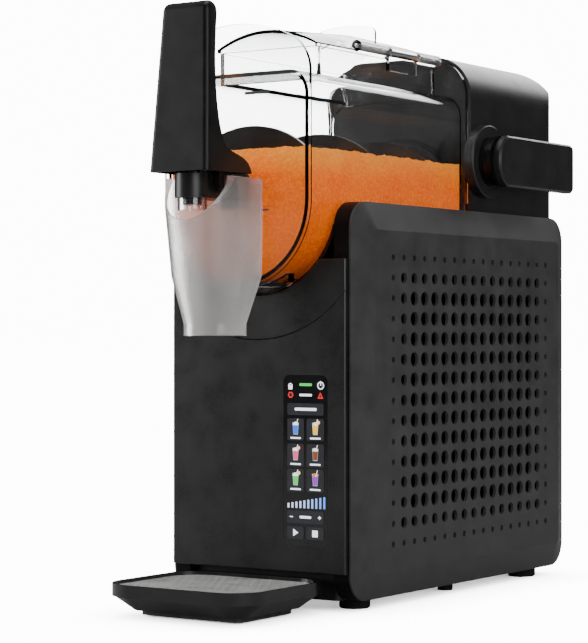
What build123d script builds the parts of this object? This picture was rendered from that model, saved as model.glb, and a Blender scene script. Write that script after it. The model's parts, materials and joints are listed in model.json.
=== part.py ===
"""Countertop slushie machine: chilled clear vessel, auger, tap, drip tray and refrigeration unit.

Lengths are millimetres, +Z is up and the front faces -Y.  The origin lies on the floor under the middle
of the machine.  Most sizes are given from the front panel's face, so the helper planes below take
distances measured from that face.
"""
import os
from math import cos, pi, sin, sqrt

from build123d import *

os.makedirs("parts", exist_ok=True)

# ---------------------------------------------------------------- driving dimensions
FRONT = -119.0  # Y of the front panel's face
BODY_HALF = 77.0  # half width of the body without its grille panels
FRAME_INNER = 64.2  # inner face of each side frame
BODY_REAR = 335.25  # rear edge of the side frames
BODY_LOW = 8.25  # underside of the side frames
BODY_TOP = 297.0  # top edge of the side frames
BODY_CORNER = 20.0  # corner radius of the side frames and grille panels
FRAME_FRONT = 4.5  # front edge of the side frames
WINDOW_LOW = (38.0, 34.0)  # air window in each side frame
WINDOW_HIGH = (304.0, 268.0)

PANEL_FACE = 86.25  # outer flat face of a grille panel
PANEL_EDGE = 78.75  # where the panel's bevel starts
PANEL_WALL = 2.6  # wall of the grille panel
PANEL_BEVEL = 21.0  # width of the bevel around the flat face
HOLE_PITCH = 15.0  # grille hole spacing
HOLE_COLUMNS = 17
HOLE_ROWS = 15
HOLE_FIRST_Y = 51.0
HOLE_FIRST_Z = 47.25
HOLE_SMALL = 2.3  # radius in the outermost ring of holes
HOLE_MIDDLE = 4.2  # radius in the second ring
HOLE_LARGE = 5.4  # radius everywhere inside

AXIS_Z = 298.0  # height of the auger and vessel axis
CRADLE_EDGE = 69.0  # radius of the cradle cut in the upper front panel
SEAM_RADIUS = 101.0  # radius of the seam between the two front panels
SEAM_GAP = 0.1
SHOULDER_Z = 255.3  # top of the front panel's shoulders
FASCIA_LOW = 28.7  # lower edge of the front panel
FASCIA_HALF = 76.8  # half width of the front panels
FASCIA_THICK = 4.0

VESSEL_RADIUS = 62.0  # outside of the vessel's round bottom
VESSEL_WALL = 3.0
VESSEL_TOP = 390.0  # flat top of the tub
VESSEL_REAR = 197.5  # rear face of the rear wall
PLATE_FACE = -27.0  # outer face of the vessel's front plate
PLATE_THICK = 3.5
PLATE_HALF = 64.0
PORT_HALF = 44.0  # half width of the filling port
PORT_FRONT = 13.0
PORT_REAR = 187.0
PORT_TOP = 411.0
REAR_OPENING = 57.5  # radius of the round opening in the vessel's rear wall

HINGE_X = 45.5  # lid hinge axis
HINGE_Z = 416.5
KNUCKLE_RADIUS = 4.5
PIN_RADIUS = 1.5

HEAD_HALF = 67.4
HEAD_FRONT = 200.0
HEAD_REAR = 345.0
HEAD_TOP = 422.0
HEAD_LOW = 297.3
HEAD_CORNER = 33.0
HEAD_REAR_CORNER = 14.0  # upright rear edges
HEAD_WALL = 2.6

DRUM_RADIUS = 38.0
DRUM_FRONT = 24.0
AUGER_RADIUS = 55.5
AUGER_INNER = 38.8
AUGER_PITCH = 84.0
SHAFT_RADIUS = 5.0
RUNNING_GAP = 0.05  # radial gap of a shaft in its bush

LEVER_Y = 217.0  # lock lever pivot
LEVER_Z = 338.0
LEVER_REAR = 331.0
LEVER_HALF = 20.2  # half height of the lever plate and radius of its hub
LEVER_NOSE = 14.0  # how far the plate's rounded front end reaches past the pivot
LEVER_CORNER = 5.0
LEVER_INNER = 86.0
LEVER_OUTER = 92.4
LEVER_DISC = 29.0
LEVER_BOSS = 6.0
LEVER_SHAFT = 8.0

BARREL_Y = -79.5  # vertical axis of the tap
BARREL_RADIUS = 12.4
BARREL_LOW = 297.0
BARREL_TOP = 314.0
NOZZLE_OUTER = 10.4
NOZZLE_INNER = 8.6
NOZZLE_LOW = 288.5
NECK_HALF = 10.5
PASSAGE_Z = 304.0
PASSAGE_RADIUS = 5.5
PIVOT_Y = -62.0  # tap handle pivot
PIVOT_Z = 309.0
TRUNNION_RADIUS = 4.0

TRAY_HALF = 64.0
TRAY_FRONT = -107.0
TRAY_REAR = 8.0
TRAY_CORNER = 27.0
TRAY_TOP = 24.4
TRAY_BAND_LOW = 15.5
TRAY_LOW = 5.0
TRAY_WALL = 4.5
GRATE_LOW = 20.3
GRATE_THICK = 1.6

GEAR_TEETH = 48
PINION_TEETH = 12
GEAR_MODULE = 1.5


# ---------------------------------------------------------------- helper planes
def at_x(x):
    """Plane facing +X; its sketch reads (distance behind the front panel, height)."""
    return Plane(origin=(x, FRONT, 0), x_dir=(0, 1, 0), z_dir=(1, 0, 0))


def at_y(y):
    """Plane facing the front; its sketch reads (X, height). A negative extrusion runs rearwards."""
    return Plane(origin=(0, FRONT + y, 0), x_dir=(1, 0, 0), z_dir=(0, -1, 0))


def at_z(z):
    """Plane facing up; its sketch reads (X, distance behind the front panel)."""
    return Plane(origin=(0, FRONT, z), x_dir=(1, 0, 0), z_dir=(0, 0, 1))


def point(x, y, z):
    """Position given from the front panel's face."""
    return (x, FRONT + y, z)


def save(piece, name):
    """Label the finished piece and write it."""
    piece.part.label = name
    export_step(piece.part, f"parts/{name}.step")


def rectangle_between(low, high, radius=0.0):
    """Add a rectangle given by two corners to the open sketch."""
    width = high[0] - low[0]
    height = high[1] - low[1]
    with Locations(((low[0] + high[0]) / 2, (low[1] + high[1]) / 2)):
        if radius:
            RectangleRounded(width, height, radius)
        else:
            Rectangle(width, height)


# ---------------------------------------------------------------- side frames
with BuildPart() as right_frame:
    with BuildSketch(at_x(FRAME_INNER)):
        rectangle_between((FRAME_FRONT, BODY_LOW), (BODY_REAR, BODY_TOP), BODY_CORNER)
    extrude(amount=BODY_HALF - FRAME_INNER)
    with BuildSketch(at_x(FRAME_INNER)):
        rectangle_between(WINDOW_LOW, WINDOW_HIGH)
    extrude(amount=BODY_HALF - FRAME_INNER, mode=Mode.SUBTRACT)
save(right_frame, "right_side_frame")

with BuildPart() as left_frame:
    mirror(right_frame.part, about=Plane.YZ)
save(left_frame, "left_side_frame")


# ---------------------------------------------------------------- grille panels
def grille_hole_radius(column, row):
    """Holes shrink towards the rim of the panel."""
    ring = min(column, HOLE_COLUMNS - 1 - column, row, HOLE_ROWS - 1 - row)
    if ring == 0:
        return HOLE_SMALL
    if ring == 1:
        return HOLE_MIDDLE
    return HOLE_LARGE


with BuildPart() as right_panel:
    with BuildSketch(at_x(BODY_HALF + 0.25)):
        rectangle_between((FRAME_FRONT, BODY_LOW), (BODY_REAR, BODY_TOP), BODY_CORNER)
    extrude(amount=PANEL_EDGE - BODY_HALF - 0.25)
    with BuildSketch(at_x(PANEL_EDGE)):
        rectangle_between((FRAME_FRONT, BODY_LOW), (BODY_REAR, BODY_TOP), BODY_CORNER)
    with BuildSketch(at_x(PANEL_FACE)):
        rectangle_between(
            (FRAME_FRONT + PANEL_BEVEL, BODY_LOW + PANEL_BEVEL - 1.5),
            (BODY_REAR - PANEL_BEVEL, BODY_TOP - PANEL_BEVEL + 0.75),
            5,
        )
    loft(ruled=True)
    with BuildSketch(at_x(BODY_HALF + 0.25)):
        rectangle_between(
            (FRAME_FRONT + 7, BODY_LOW + 7), (BODY_REAR - 7, BODY_TOP - 7), BODY_CORNER - 7
        )
    with BuildSketch(at_x(PANEL_FACE - PANEL_WALL)):
        rectangle_between(
            (FRAME_FRONT + PANEL_BEVEL + 1, BODY_LOW + PANEL_BEVEL - 0.5),
            (BODY_REAR - PANEL_BEVEL - 1, BODY_TOP - PANEL_BEVEL - 0.5),
            4,
        )
    loft(ruled=True, mode=Mode.SUBTRACT)
    with BuildSketch(at_x(PANEL_FACE)):
        for column in range(HOLE_COLUMNS):
            for row in range(HOLE_ROWS):
                with Locations((HOLE_FIRST_Y + column * HOLE_PITCH, HOLE_FIRST_Z + row * HOLE_PITCH)):
                    Circle(grille_hole_radius(column, row))
    extrude(amount=-PANEL_WALL, mode=Mode.SUBTRACT)
save(right_panel, "right_grille_panel")

with BuildPart() as left_panel:
    mirror(right_panel.part, about=Plane.YZ)
save(left_panel, "left_grille_panel")

SCREEN_INNER = BODY_HALF + 0.1
SCREEN_THICK = 0.8
SCREEN_LAP = 8.0  # overlap of the screen around the frame's air window

with BuildPart() as dust_screens:
    with BuildSketch(at_x(SCREEN_INNER)):
        rectangle_between(
            (WINDOW_LOW[0] - SCREEN_LAP, WINDOW_LOW[1] - SCREEN_LAP),
            (WINDOW_HIGH[0] + SCREEN_LAP, WINDOW_HIGH[1] + SCREEN_LAP),
            SCREEN_LAP,
        )
    extrude(amount=SCREEN_THICK)
    mirror(about=Plane.YZ)
save(dust_screens, "dust_screens")

# ---------------------------------------------------------------- front panels
DISPLAY_LOW = (23.6, 47.0)
DISPLAY_HIGH = (61.9, 171.5)
DISPLAY_LEDGE = 3.0  # ledge that carries the window
DISPLAY_GAP = 0.15
DISPLAY_CORNER = 5.0

with BuildPart() as upper_front:
    with BuildSketch(at_y(0)):
        with Locations((0, AXIS_Z)):
            Circle(SEAM_RADIUS)
            Circle(CRADLE_EDGE, mode=Mode.SUBTRACT)
        with Locations((0, SHOULDER_Z - 100)):
            Rectangle(2 * FASCIA_HALF, 200, mode=Mode.INTERSECT)
    extrude(amount=-FASCIA_THICK)
    chamfer(upper_front.faces().sort_by(Axis.Y)[0].edges(), 0.6)
save(upper_front, "upper_front_panel")

with BuildPart() as lower_front:
    with BuildSketch(at_y(0)):
        rectangle_between((-FASCIA_HALF, FASCIA_LOW), (FASCIA_HALF, 260))
        with Locations((0, AXIS_Z)):
            Circle(SEAM_RADIUS + SEAM_GAP, mode=Mode.SUBTRACT)
    extrude(amount=-FASCIA_THICK)
    chamfer(lower_front.faces().sort_by(Axis.Y)[0].edges(), 0.6)
    with BuildSketch(at_y(0)):
        rectangle_between(DISPLAY_LOW, DISPLAY_HIGH, DISPLAY_CORNER)
    extrude(amount=-1.7, mode=Mode.SUBTRACT)
    with BuildSketch(at_y(0)):
        rectangle_between(
            (DISPLAY_LOW[0] + DISPLAY_LEDGE, DISPLAY_LOW[1] + DISPLAY_LEDGE),
            (DISPLAY_HIGH[0] - DISPLAY_LEDGE, DISPLAY_HIGH[1] - DISPLAY_LEDGE),
            3,
        )
    extrude(amount=-FASCIA_THICK, mode=Mode.SUBTRACT)
save(lower_front, "lower_front_panel")

with BuildPart() as display_window:
    with BuildSketch(at_y(0.05)):
        rectangle_between(
            (DISPLAY_LOW[0] + DISPLAY_GAP, DISPLAY_LOW[1] + DISPLAY_GAP),
            (DISPLAY_HIGH[0] - DISPLAY_GAP, DISPLAY_HIGH[1] - DISPLAY_GAP),
            DISPLAY_CORNER - DISPLAY_GAP,
        )
    extrude(amount=-1.6)
save(display_window, "display_window")

with BuildPart() as display_board:
    with BuildSketch(at_y(FASCIA_THICK + 0.4)):
        rectangle_between((21, 43), (63, 175), 2)
    extrude(amount=-1.6)
    with BuildSketch(at_y(FASCIA_THICK + 2)):
        rectangle_between((27, 60), (57, 82))
        rectangle_between((27, 96), (45, 108))
        rectangle_between((30, 130), (54, 160))
    extrude(amount=-3)
save(display_board, "display_board")

# ---------------------------------------------------------------- cradle under the vessel
with BuildPart() as cradle:
    with BuildSketch(at_y(FASCIA_THICK)):
        with Locations((0, AXIS_Z)):
            Circle(CRADLE_EDGE)
            Circle(CRADLE_EDGE - 2.6, mode=Mode.SUBTRACT)
        with Locations((0, AXIS_Z - 62)):
            Rectangle(2 * FRAME_INNER - 0.4, 90, mode=Mode.INTERSECT)
    extrude(amount=-192)
save(cradle, "vessel_cradle")

# ---------------------------------------------------------------- base pan and feet
PAN_HALF = FRAME_INNER - 0.3
PAN_FRONT = 12.0
FOOT_HEIGHT = 8.2
PAN_FLOOR = 3.0
PAN_RIM = 38.0
TONGUE_HALF = 42.0
TONGUE_LOW = PAN_FLOOR + FOOT_HEIGHT + 0.4
TONGUE_THICK = 4.0

with BuildPart() as base_pan:
    with BuildSketch(at_z(FOOT_HEIGHT)):
        rectangle_between((-PAN_HALF, PAN_FRONT), (PAN_HALF, BODY_REAR - 1), 4)
    extrude(amount=PAN_RIM - FOOT_HEIGHT)
    with BuildSketch(at_z(FOOT_HEIGHT + PAN_FLOOR)):
        rectangle_between((-PAN_HALF + 2.4, PAN_FRONT + 2.4), (PAN_HALF - 2.4, BODY_REAR - 6.4), 3)
    extrude(amount=PAN_RIM, mode=Mode.SUBTRACT)
    with BuildSketch(at_y(PAN_FRONT - 1)):
        rectangle_between(
            (-TONGUE_HALF - 1, TONGUE_LOW - 0.4),
            (TONGUE_HALF + 1, TONGUE_LOW + TONGUE_THICK + 0.8),
        )
    extrude(amount=-5, mode=Mode.SUBTRACT)
save(base_pan, "base_pan")

FOOT_PLACES = [(57.6, 43.3), (-57.6, 43.3), (60, 298), (-60, 298)]
PAD_PLACES = [(56.7, 177.3), (-56.7, 177.3)]

with BuildPart() as feet:
    with BuildSketch(at_z(0)):
        with Locations(*FOOT_PLACES):
            Circle(11.5)
    extrude(amount=FOOT_HEIGHT)
    chamfer(feet.edges().filter_by(GeomType.CIRCLE).group_by(Axis.Z)[0], 1.2)
    with BuildSketch(at_z(0)):
        with Locations(*PAD_PLACES):
            Circle(6)
    extrude(amount=FOOT_HEIGHT)
save(feet, "rubber_feet")

# ---------------------------------------------------------------- rear cover and its screws
INLET_X = 34.0
INLET_Z = 60.0
SCREW_PLACES = [(x, z) for x in (-56, 56) for z in (48, 130, 212, 286)]

with BuildPart() as rear_cover:
    with BuildSketch(at_y(330)):
        rectangle_between((-PAN_HALF, PAN_RIM + 0.3), (PAN_HALF, BODY_TOP - 0.3), 3)
        with Locations(*SCREW_PLACES):
            Circle(1.9, mode=Mode.SUBTRACT)
        for row in range(9):
            with Locations((0, 126 + 15 * row)):
                SlotOverall(84, 6, mode=Mode.SUBTRACT)
        with Locations((INLET_X, INLET_Z)):
            Rectangle(28.4, 20.4, mode=Mode.SUBTRACT)
    extrude(amount=-2.6)
save(rear_cover, "rear_cover")

with BuildPart() as rear_screws:
    with BuildSketch(at_y(332.6)):
        with Locations(*SCREW_PLACES):
            Circle(3.4)
    extrude(amount=-2)
    with BuildSketch(at_y(334.6)):
        with Locations(*SCREW_PLACES):
            RegularPolygon(1.5, 6)
    extrude(amount=1.2, mode=Mode.SUBTRACT)
    with BuildSketch(at_y(332.6)):
        with Locations(*SCREW_PLACES):
            Circle(1.7)
    extrude(amount=8)
save(rear_screws, "rear_cover_screws")

INLET_PINS = [(INLET_X - 7, INLET_Z - 1), (INLET_X, INLET_Z + 3), (INLET_X + 7, INLET_Z - 1)]

with BuildPart() as power_inlet:
    with BuildSketch(at_y(318)):
        with Locations((INLET_X, INLET_Z)):
            Rectangle(28, 20)
    extrude(amount=-14.6)
    with BuildSketch(at_y(332.6)):
        with Locations((INLET_X, INLET_Z)):
            RectangleRounded(33, 25, 3)
    extrude(amount=-2)
    with BuildSketch(at_y(334.6)):
        with Locations((INLET_X, INLET_Z)):
            RectangleRounded(24, 16, 3)
    extrude(amount=13, mode=Mode.SUBTRACT)
    with BuildSketch(at_y(321)):
        with Locations(*INLET_PINS):
            Rectangle(2, 4)
    extrude(amount=-10)
save(power_inlet, "power_inlet")


# ---------------------------------------------------------------- head housing and bulkhead
def head_block(grow):
    """Rounded head block, smaller all round when grow is negative, run on below its open underside."""
    half = HEAD_HALF + grow
    top = HEAD_TOP + grow
    corner = HEAD_CORNER + grow
    with BuildPart() as block:
        with BuildSketch(at_y(HEAD_FRONT - 1)):
            rectangle_between((-half, HEAD_LOW - 60), (half, top), corner)
        extrude(amount=-(HEAD_REAR + grow - HEAD_FRONT + 1))
        with BuildSketch(at_x(-half - 1)):
            rectangle_between((HEAD_FRONT - 80, HEAD_LOW - 60), (HEAD_REAR + grow, top), corner)
        extrude(amount=2 * half + 2, mode=Mode.INTERSECT)
        with BuildSketch(at_z(HEAD_LOW - 61)):
            rectangle_between((-half, HEAD_FRONT - 80), (half, HEAD_REAR + grow), HEAD_REAR_CORNER + grow)
        extrude(amount=HEAD_TOP - HEAD_LOW + 80, mode=Mode.INTERSECT)
    return block.part


with BuildPart() as head_housing:
    add(head_block(0.0))
    add(head_block(-HEAD_WALL), mode=Mode.SUBTRACT)
    with BuildSketch(at_y(HEAD_FRONT)):
        rectangle_between((-90, HEAD_LOW), (90, HEAD_TOP + 10))
    extrude(amount=-170, mode=Mode.INTERSECT)
    with BuildSketch(at_x(HEAD_HALF)):
        with Locations((LEVER_Y, LEVER_Z)):
            Circle(LEVER_DISC)
    extrude(amount=LEVER_BOSS)
    with BuildSketch(at_x(HEAD_HALF - 10)):
        with Locations((LEVER_Y, LEVER_Z)):
            Circle(LEVER_SHAFT + RUNNING_GAP)
    extrude(amount=LEVER_BOSS + 11, mode=Mode.SUBTRACT)
    with BuildSketch(at_y(HEAD_REAR + 1)):
        for row in range(5):
            with Locations((0, 322 + 12 * row)):
                SlotOverall(80, 5)
    extrude(amount=5, mode=Mode.SUBTRACT)
save(head_housing, "head_housing")

BULKHEAD_HALF = HEAD_HALF - HEAD_WALL - 0.2
BULKHEAD_THICK = 3.0
TUBE_RADIUS = 2.5
SUCTION_HOLE = (25.5, 276.5)
LIQUID_HOLE = (-25.5, 276.5)
POST_PLACES = [(-44, 264), (44, 264), (-34, 366), (34, 366)]

with BuildPart() as bulkhead:
    with BuildSketch(at_y(HEAD_FRONT + 0.5)):
        rectangle_between((-BULKHEAD_HALF, 240), (BULKHEAD_HALF, HEAD_TOP - HEAD_WALL - 0.2), 30)
        with Locations((0, HEAD_LOW + 0.3 + 100)):
            Rectangle(200, 200, mode=Mode.INTERSECT)
        rectangle_between((-PAN_HALF, 236), (PAN_HALF, HEAD_LOW + 0.4))
        with Locations((0, AXIS_Z)):
            Circle(9, mode=Mode.SUBTRACT)
        with Locations(SUCTION_HOLE, LIQUID_HOLE):
            Circle(TUBE_RADIUS + 0.4, mode=Mode.SUBTRACT)
    extrude(amount=-BULKHEAD_THICK)
save(bulkhead, "head_bulkhead")

# ---------------------------------------------------------------- chilled drum
with BuildPart() as drum:
    with BuildSketch(Plane.YZ):
        with BuildLine():
            Polyline(
                (FRONT + HEAD_FRONT + 0.4, AXIS_Z + DRUM_RADIUS),
                (FRONT + DRUM_FRONT + 6, AXIS_Z + DRUM_RADIUS),
                (FRONT + DRUM_FRONT, AXIS_Z + DRUM_RADIUS - 6),
                (FRONT + DRUM_FRONT, AXIS_Z + 6.2),
                (FRONT + HEAD_FRONT + 0.4, AXIS_Z + 6.2),
                (FRONT + HEAD_FRONT + 0.4, AXIS_Z + 8.2),
                (FRONT + DRUM_FRONT + 2, AXIS_Z + 8.2),
                (FRONT + DRUM_FRONT + 2, AXIS_Z + DRUM_RADIUS - 7),
                (FRONT + DRUM_FRONT + 7, AXIS_Z + DRUM_RADIUS - 1.6),
                (FRONT + HEAD_FRONT + 0.4, AXIS_Z + DRUM_RADIUS - 1.6),
                close=True,
            )
        make_face()
    revolve(axis=Axis((0, 0, AXIS_Z), (0, 1, 0)))
save(drum, "chilled_drum")

COIL_RINGS = 9
COIL_RADIUS = 32.5
with BuildPart() as coil:
    for ring in range(COIL_RINGS):
        with BuildSketch(Plane.YZ):
            with Locations((FRONT + 40 + 17 * ring, AXIS_Z + COIL_RADIUS)):
                Circle(3)
        revolve(axis=Axis((0, 0, AXIS_Z), (0, 1, 0)))
    with BuildSketch(at_y(38)):
        with Locations(SUCTION_HOLE, LIQUID_HOLE):
            Circle(TUBE_RADIUS)
    extrude(amount=-160)
save(coil, "evaporator_coil")

with BuildPart() as drum_seal:
    with BuildSketch(at_y(HEAD_FRONT + 0.4)):
        with Locations((0, AXIS_Z)):
            Circle(60.5)
            Circle(DRUM_RADIUS + 0.1, mode=Mode.SUBTRACT)
    extrude(amount=2.2)
    with BuildSketch(at_y(HEAD_FRONT - 1.8)):
        with Locations((0, AXIS_Z)):
            Circle(REAR_OPENING - 0.5)
            Circle(DRUM_RADIUS + 0.1, mode=Mode.SUBTRACT)
    extrude(amount=12)
save(drum_seal, "drum_seal")

BUSH_RADIUS = 6.2
FRONT_BUSH = (DRUM_FRONT - 2, DRUM_FRONT + 10)
REAR_BUSH = (HEAD_FRONT - 4, HEAD_FRONT + 6)

with BuildPart() as shaft_bushes:
    for low_y, high_y in (FRONT_BUSH, REAR_BUSH):
        with BuildSketch(at_y(low_y)):
            with Locations((0, AXIS_Z)):
                Circle(BUSH_RADIUS)
                Circle(SHAFT_RADIUS + RUNNING_GAP, mode=Mode.SUBTRACT)
        extrude(amount=low_y - high_y)
save(shaft_bushes, "shaft_bushes")

# ---------------------------------------------------------------- auger and its shaft
with BuildPart() as shaft:
    with BuildSketch(at_y(2)):
        with Locations((0, AXIS_Z)):
            Circle(SHAFT_RADIUS)
    extrude(amount=-230)
save(shaft, "auger_shaft")

BLADE_FRONT = -19.0
BLADE_TURN = -73.0  # where the blade's front end stands, in degrees from the top towards +X
BLADE_REAR = 182.0
BLADE_THICK = 4.0
RIB_RADIUS = 43.0

with BuildPart() as auger:
    blade_middle = (AUGER_RADIUS + AUGER_INNER) / 2
    with BuildLine() as blade_path:
        Helix(
            pitch=AUGER_PITCH,
            height=BLADE_REAR - BLADE_FRONT,
            radius=blade_middle,
            center=point(0, BLADE_FRONT, AXIS_Z),
            direction=(0, 1, 0),
        )
    turned_path = blade_path.line.rotate(Axis(point(0, 0, AXIS_Z), (0, 1, 0)), BLADE_TURN)
    blade_start = turned_path @ 0
    outward = blade_start - Vector(*point(0, BLADE_FRONT, AXIS_Z))
    with BuildSketch(Plane(blade_start, x_dir=outward, z_dir=turned_path % 0)):
        Rectangle(AUGER_RADIUS - AUGER_INNER, BLADE_THICK)
    sweep(path=turned_path, is_frenet=True)
    with BuildSketch(at_y(8)):
        with Locations((0, AXIS_Z)):
            with PolarLocations(RIB_RADIUS + 1.0, 3, start_angle=90):
                Rectangle(5, 9)
    extrude(amount=-(BLADE_REAR - 10))
    with BuildSketch(at_y(8)):
        with Locations((0, AXIS_Z)):
            Circle(13)
            with PolarLocations(RIB_RADIUS / 2 + 1.2, 3, start_angle=90):
                Rectangle(RIB_RADIUS + 4.5, 9)
    extrude(amount=-7)
    with BuildSketch(at_y(8)):
        with Locations((0, AXIS_Z)):
            Circle(SHAFT_RADIUS)
    extrude(amount=-8, mode=Mode.SUBTRACT)
save(auger, "auger")

with BuildPart() as nose:
    with BuildSketch(Plane.YZ):
        with BuildLine():
            Line((FRONT - 6, AXIS_Z), (FRONT - 6, AXIS_Z + 5))
            ThreePointArc((FRONT - 6, AXIS_Z + 5), (FRONT - 1, AXIS_Z + 10), (FRONT + 8, AXIS_Z + 12))
            Polyline(
                (FRONT + 8, AXIS_Z + 12),
                (FRONT + 8, AXIS_Z + SHAFT_RADIUS),
                (FRONT + 2, AXIS_Z + SHAFT_RADIUS),
                (FRONT + 2, AXIS_Z),
                (FRONT - 6, AXIS_Z),
            )
        make_face()
    revolve(axis=Axis((0, 0, AXIS_Z), (0, 1, 0)))
save(nose, "auger_nose_cap")


# ---------------------------------------------------------------- gears, motor
def gear_outline(teeth, height, root, tip, root_share, tip_share, phase):
    """Corner points of a straight-flanked gear centred at a height; shares are tooth widths over pitch."""
    step = 2 * pi / teeth
    corners = []
    for tooth in range(teeth):
        middle = phase + tooth * step
        for radius, share in ((root, -root_share), (tip, -tip_share), (tip, tip_share), (root, root_share)):
            angle = middle + share * step / 2
            corners.append((radius * cos(angle), height + radius * sin(angle)))
    return corners


GEAR_PITCH_RADIUS = GEAR_TEETH * GEAR_MODULE / 2
PINION_PITCH_RADIUS = PINION_TEETH * GEAR_MODULE / 2
MOTOR_Z = AXIS_Z + GEAR_PITCH_RADIUS + PINION_PITCH_RADIUS
DEDENDUM = 1.9
ADDENDUM = 1.4
GEAR_ROOT = GEAR_PITCH_RADIUS - DEDENDUM
GEAR_TIP = GEAR_PITCH_RADIUS + ADDENDUM
PINION_ROOT = PINION_PITCH_RADIUS - DEDENDUM
PINION_TIP = PINION_PITCH_RADIUS + ADDENDUM
GEAR_FRONT = 212.0
GEAR_WIDTH = 10.0
PLATE_Y = 226.0
MOTOR_SHAFT_RADIUS = 4.0

with BuildPart() as gear:
    with BuildSketch(at_y(GEAR_FRONT)):
        with BuildLine():
            Polyline(*gear_outline(GEAR_TEETH, AXIS_Z, GEAR_ROOT, GEAR_TIP, 0.58, 0.24, pi / 2), close=True)
        make_face()
        with Locations((0, AXIS_Z)):
            Circle(SHAFT_RADIUS, mode=Mode.SUBTRACT)
            with PolarLocations(20, 6):
                Circle(6.5, mode=Mode.SUBTRACT)
    extrude(amount=-GEAR_WIDTH)
save(gear, "drive_gear")

with BuildPart() as pinion:
    with BuildSketch(at_y(GEAR_FRONT)):
        with BuildLine():
            space_down = pi / PINION_TEETH - pi / 2
            Polyline(
                *gear_outline(PINION_TEETH, MOTOR_Z, PINION_ROOT, PINION_TIP, 0.5, 0.14, space_down),
                close=True,
            )
        make_face()
        with Locations((0, MOTOR_Z)):
            Circle(MOTOR_SHAFT_RADIUS, mode=Mode.SUBTRACT)
    extrude(amount=-GEAR_WIDTH)
save(pinion, "motor_pinion")

with BuildPart() as gear_plate:
    with BuildSketch(at_y(PLATE_Y)):
        rectangle_between((-50, 256), (50, 374), 10)
        with Locations((0, AXIS_Z)):
            Circle(SHAFT_RADIUS + 0.6, mode=Mode.SUBTRACT)
        with Locations((0, MOTOR_Z)):
            Circle(10, mode=Mode.SUBTRACT)
    extrude(amount=-3)
    with BuildSketch(at_y(HEAD_FRONT + BULKHEAD_THICK + 0.5)):
        with Locations(*POST_PLACES):
            Circle(4)
    extrude(amount=-(PLATE_Y - HEAD_FRONT - BULKHEAD_THICK - 0.5))
save(gear_plate, "gear_plate")

with BuildPart() as drive_motor:
    with BuildSketch(at_y(PLATE_Y + 3)):
        with Locations((0, MOTOR_Z)):
            Circle(28)
    extrude(amount=-74)
    chamfer(drive_motor.edges().filter_by(GeomType.CIRCLE), 2)
    with BuildSketch(at_y(PLATE_Y - 1)):
        with Locations((0, MOTOR_Z)):
            Circle(9)
            Circle(MOTOR_SHAFT_RADIUS + 0.3, mode=Mode.SUBTRACT)
    extrude(amount=-6)
    with BuildSketch(at_y(PLATE_Y - 2)):
        with Locations((0, MOTOR_Z)):
            Circle(MOTOR_SHAFT_RADIUS + 0.3)
    extrude(amount=-30, mode=Mode.SUBTRACT)
save(drive_motor, "drive_motor")

with BuildPart() as motor_shaft:
    with BuildSketch(at_y(GEAR_FRONT - 2)):
        with Locations((0, MOTOR_Z)):
            Circle(MOTOR_SHAFT_RADIUS)
    extrude(amount=-36)
save(motor_shaft, "motor_shaft")

with BuildPart() as control_board:
    with BuildSketch(at_x(-58)):
        rectangle_between((236, 302), (326, 392), 2)
    extrude(amount=1.6)
    with BuildSketch(at_x(-56.4)):
        rectangle_between((246, 312), (270, 340))
        rectangle_between((284, 350), (312, 378))
        rectangle_between((246, 360), (262, 382))
    extrude(amount=6)
save(control_board, "control_board")

with BuildPart() as power_board:
    with BuildSketch(at_x(56)):
        rectangle_between((60, 50), (190, 190), 2)
    extrude(amount=1.6)
    with BuildSketch(at_x(56)):
        rectangle_between((72, 62), (106, 92))
        rectangle_between((122, 66), (140, 84))
        rectangle_between((76, 112), (96, 172))
        rectangle_between((120, 120), (172, 140))
        rectangle_between((124, 152), (150, 178))
    extrude(amount=-20)
save(power_board, "power_board")

# ---------------------------------------------------------------- refrigeration unit
COMPRESSOR_Y = 268.0
COMPRESSOR_RADIUS = 44.0

with BuildPart() as compressor:
    with BuildSketch(at_z(17)):
        with Locations((0, COMPRESSOR_Y)):
            Circle(COMPRESSOR_RADIUS)
    extrude(amount=130)
    rims = compressor.edges().filter_by(GeomType.CIRCLE)
    fillet(rims, 14)
    with BuildSketch(at_z(16)):
        with Locations((0, COMPRESSOR_Y)):
            RectangleRounded(104, 84, 10)
            with GridLocations(88, 68, 2, 2):
                Circle(4.2, mode=Mode.SUBTRACT)
    extrude(amount=3)
    with BuildSketch(at_z(140)):
        with Locations((16, COMPRESSOR_Y - 10), (-16, COMPRESSOR_Y - 10)):
            Circle(4)
    extrude(amount=14)
save(compressor, "compressor")

with BuildPart() as mounts:
    with BuildSketch(at_z(FOOT_HEIGHT + PAN_FLOOR)):
        with Locations((0, COMPRESSOR_Y)):
            with GridLocations(88, 68, 2, 2):
                Circle(7)
    extrude(amount=16 - FOOT_HEIGHT - PAN_FLOOR)
    with BuildSketch(at_z(16)):
        with Locations((0, COMPRESSOR_Y)):
            with GridLocations(88, 68, 2, 2):
                Circle(4)
    extrude(amount=3)
    with BuildSketch(at_z(19)):
        with Locations((0, COMPRESSOR_Y)):
            with GridLocations(88, 68, 2, 2):
                Circle(6)
    extrude(amount=3)
save(mounts, "compressor_grommets")

FAN_Y = 110.0
FAN_Z = 116.0
CONDENSER_X = -52.0
CONDENSER_LOW = (40.0, 46.0)
CONDENSER_HIGH = (180.0, 186.0)
FIN_COUNT = 24

TUBE_ROWS = 7

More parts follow.
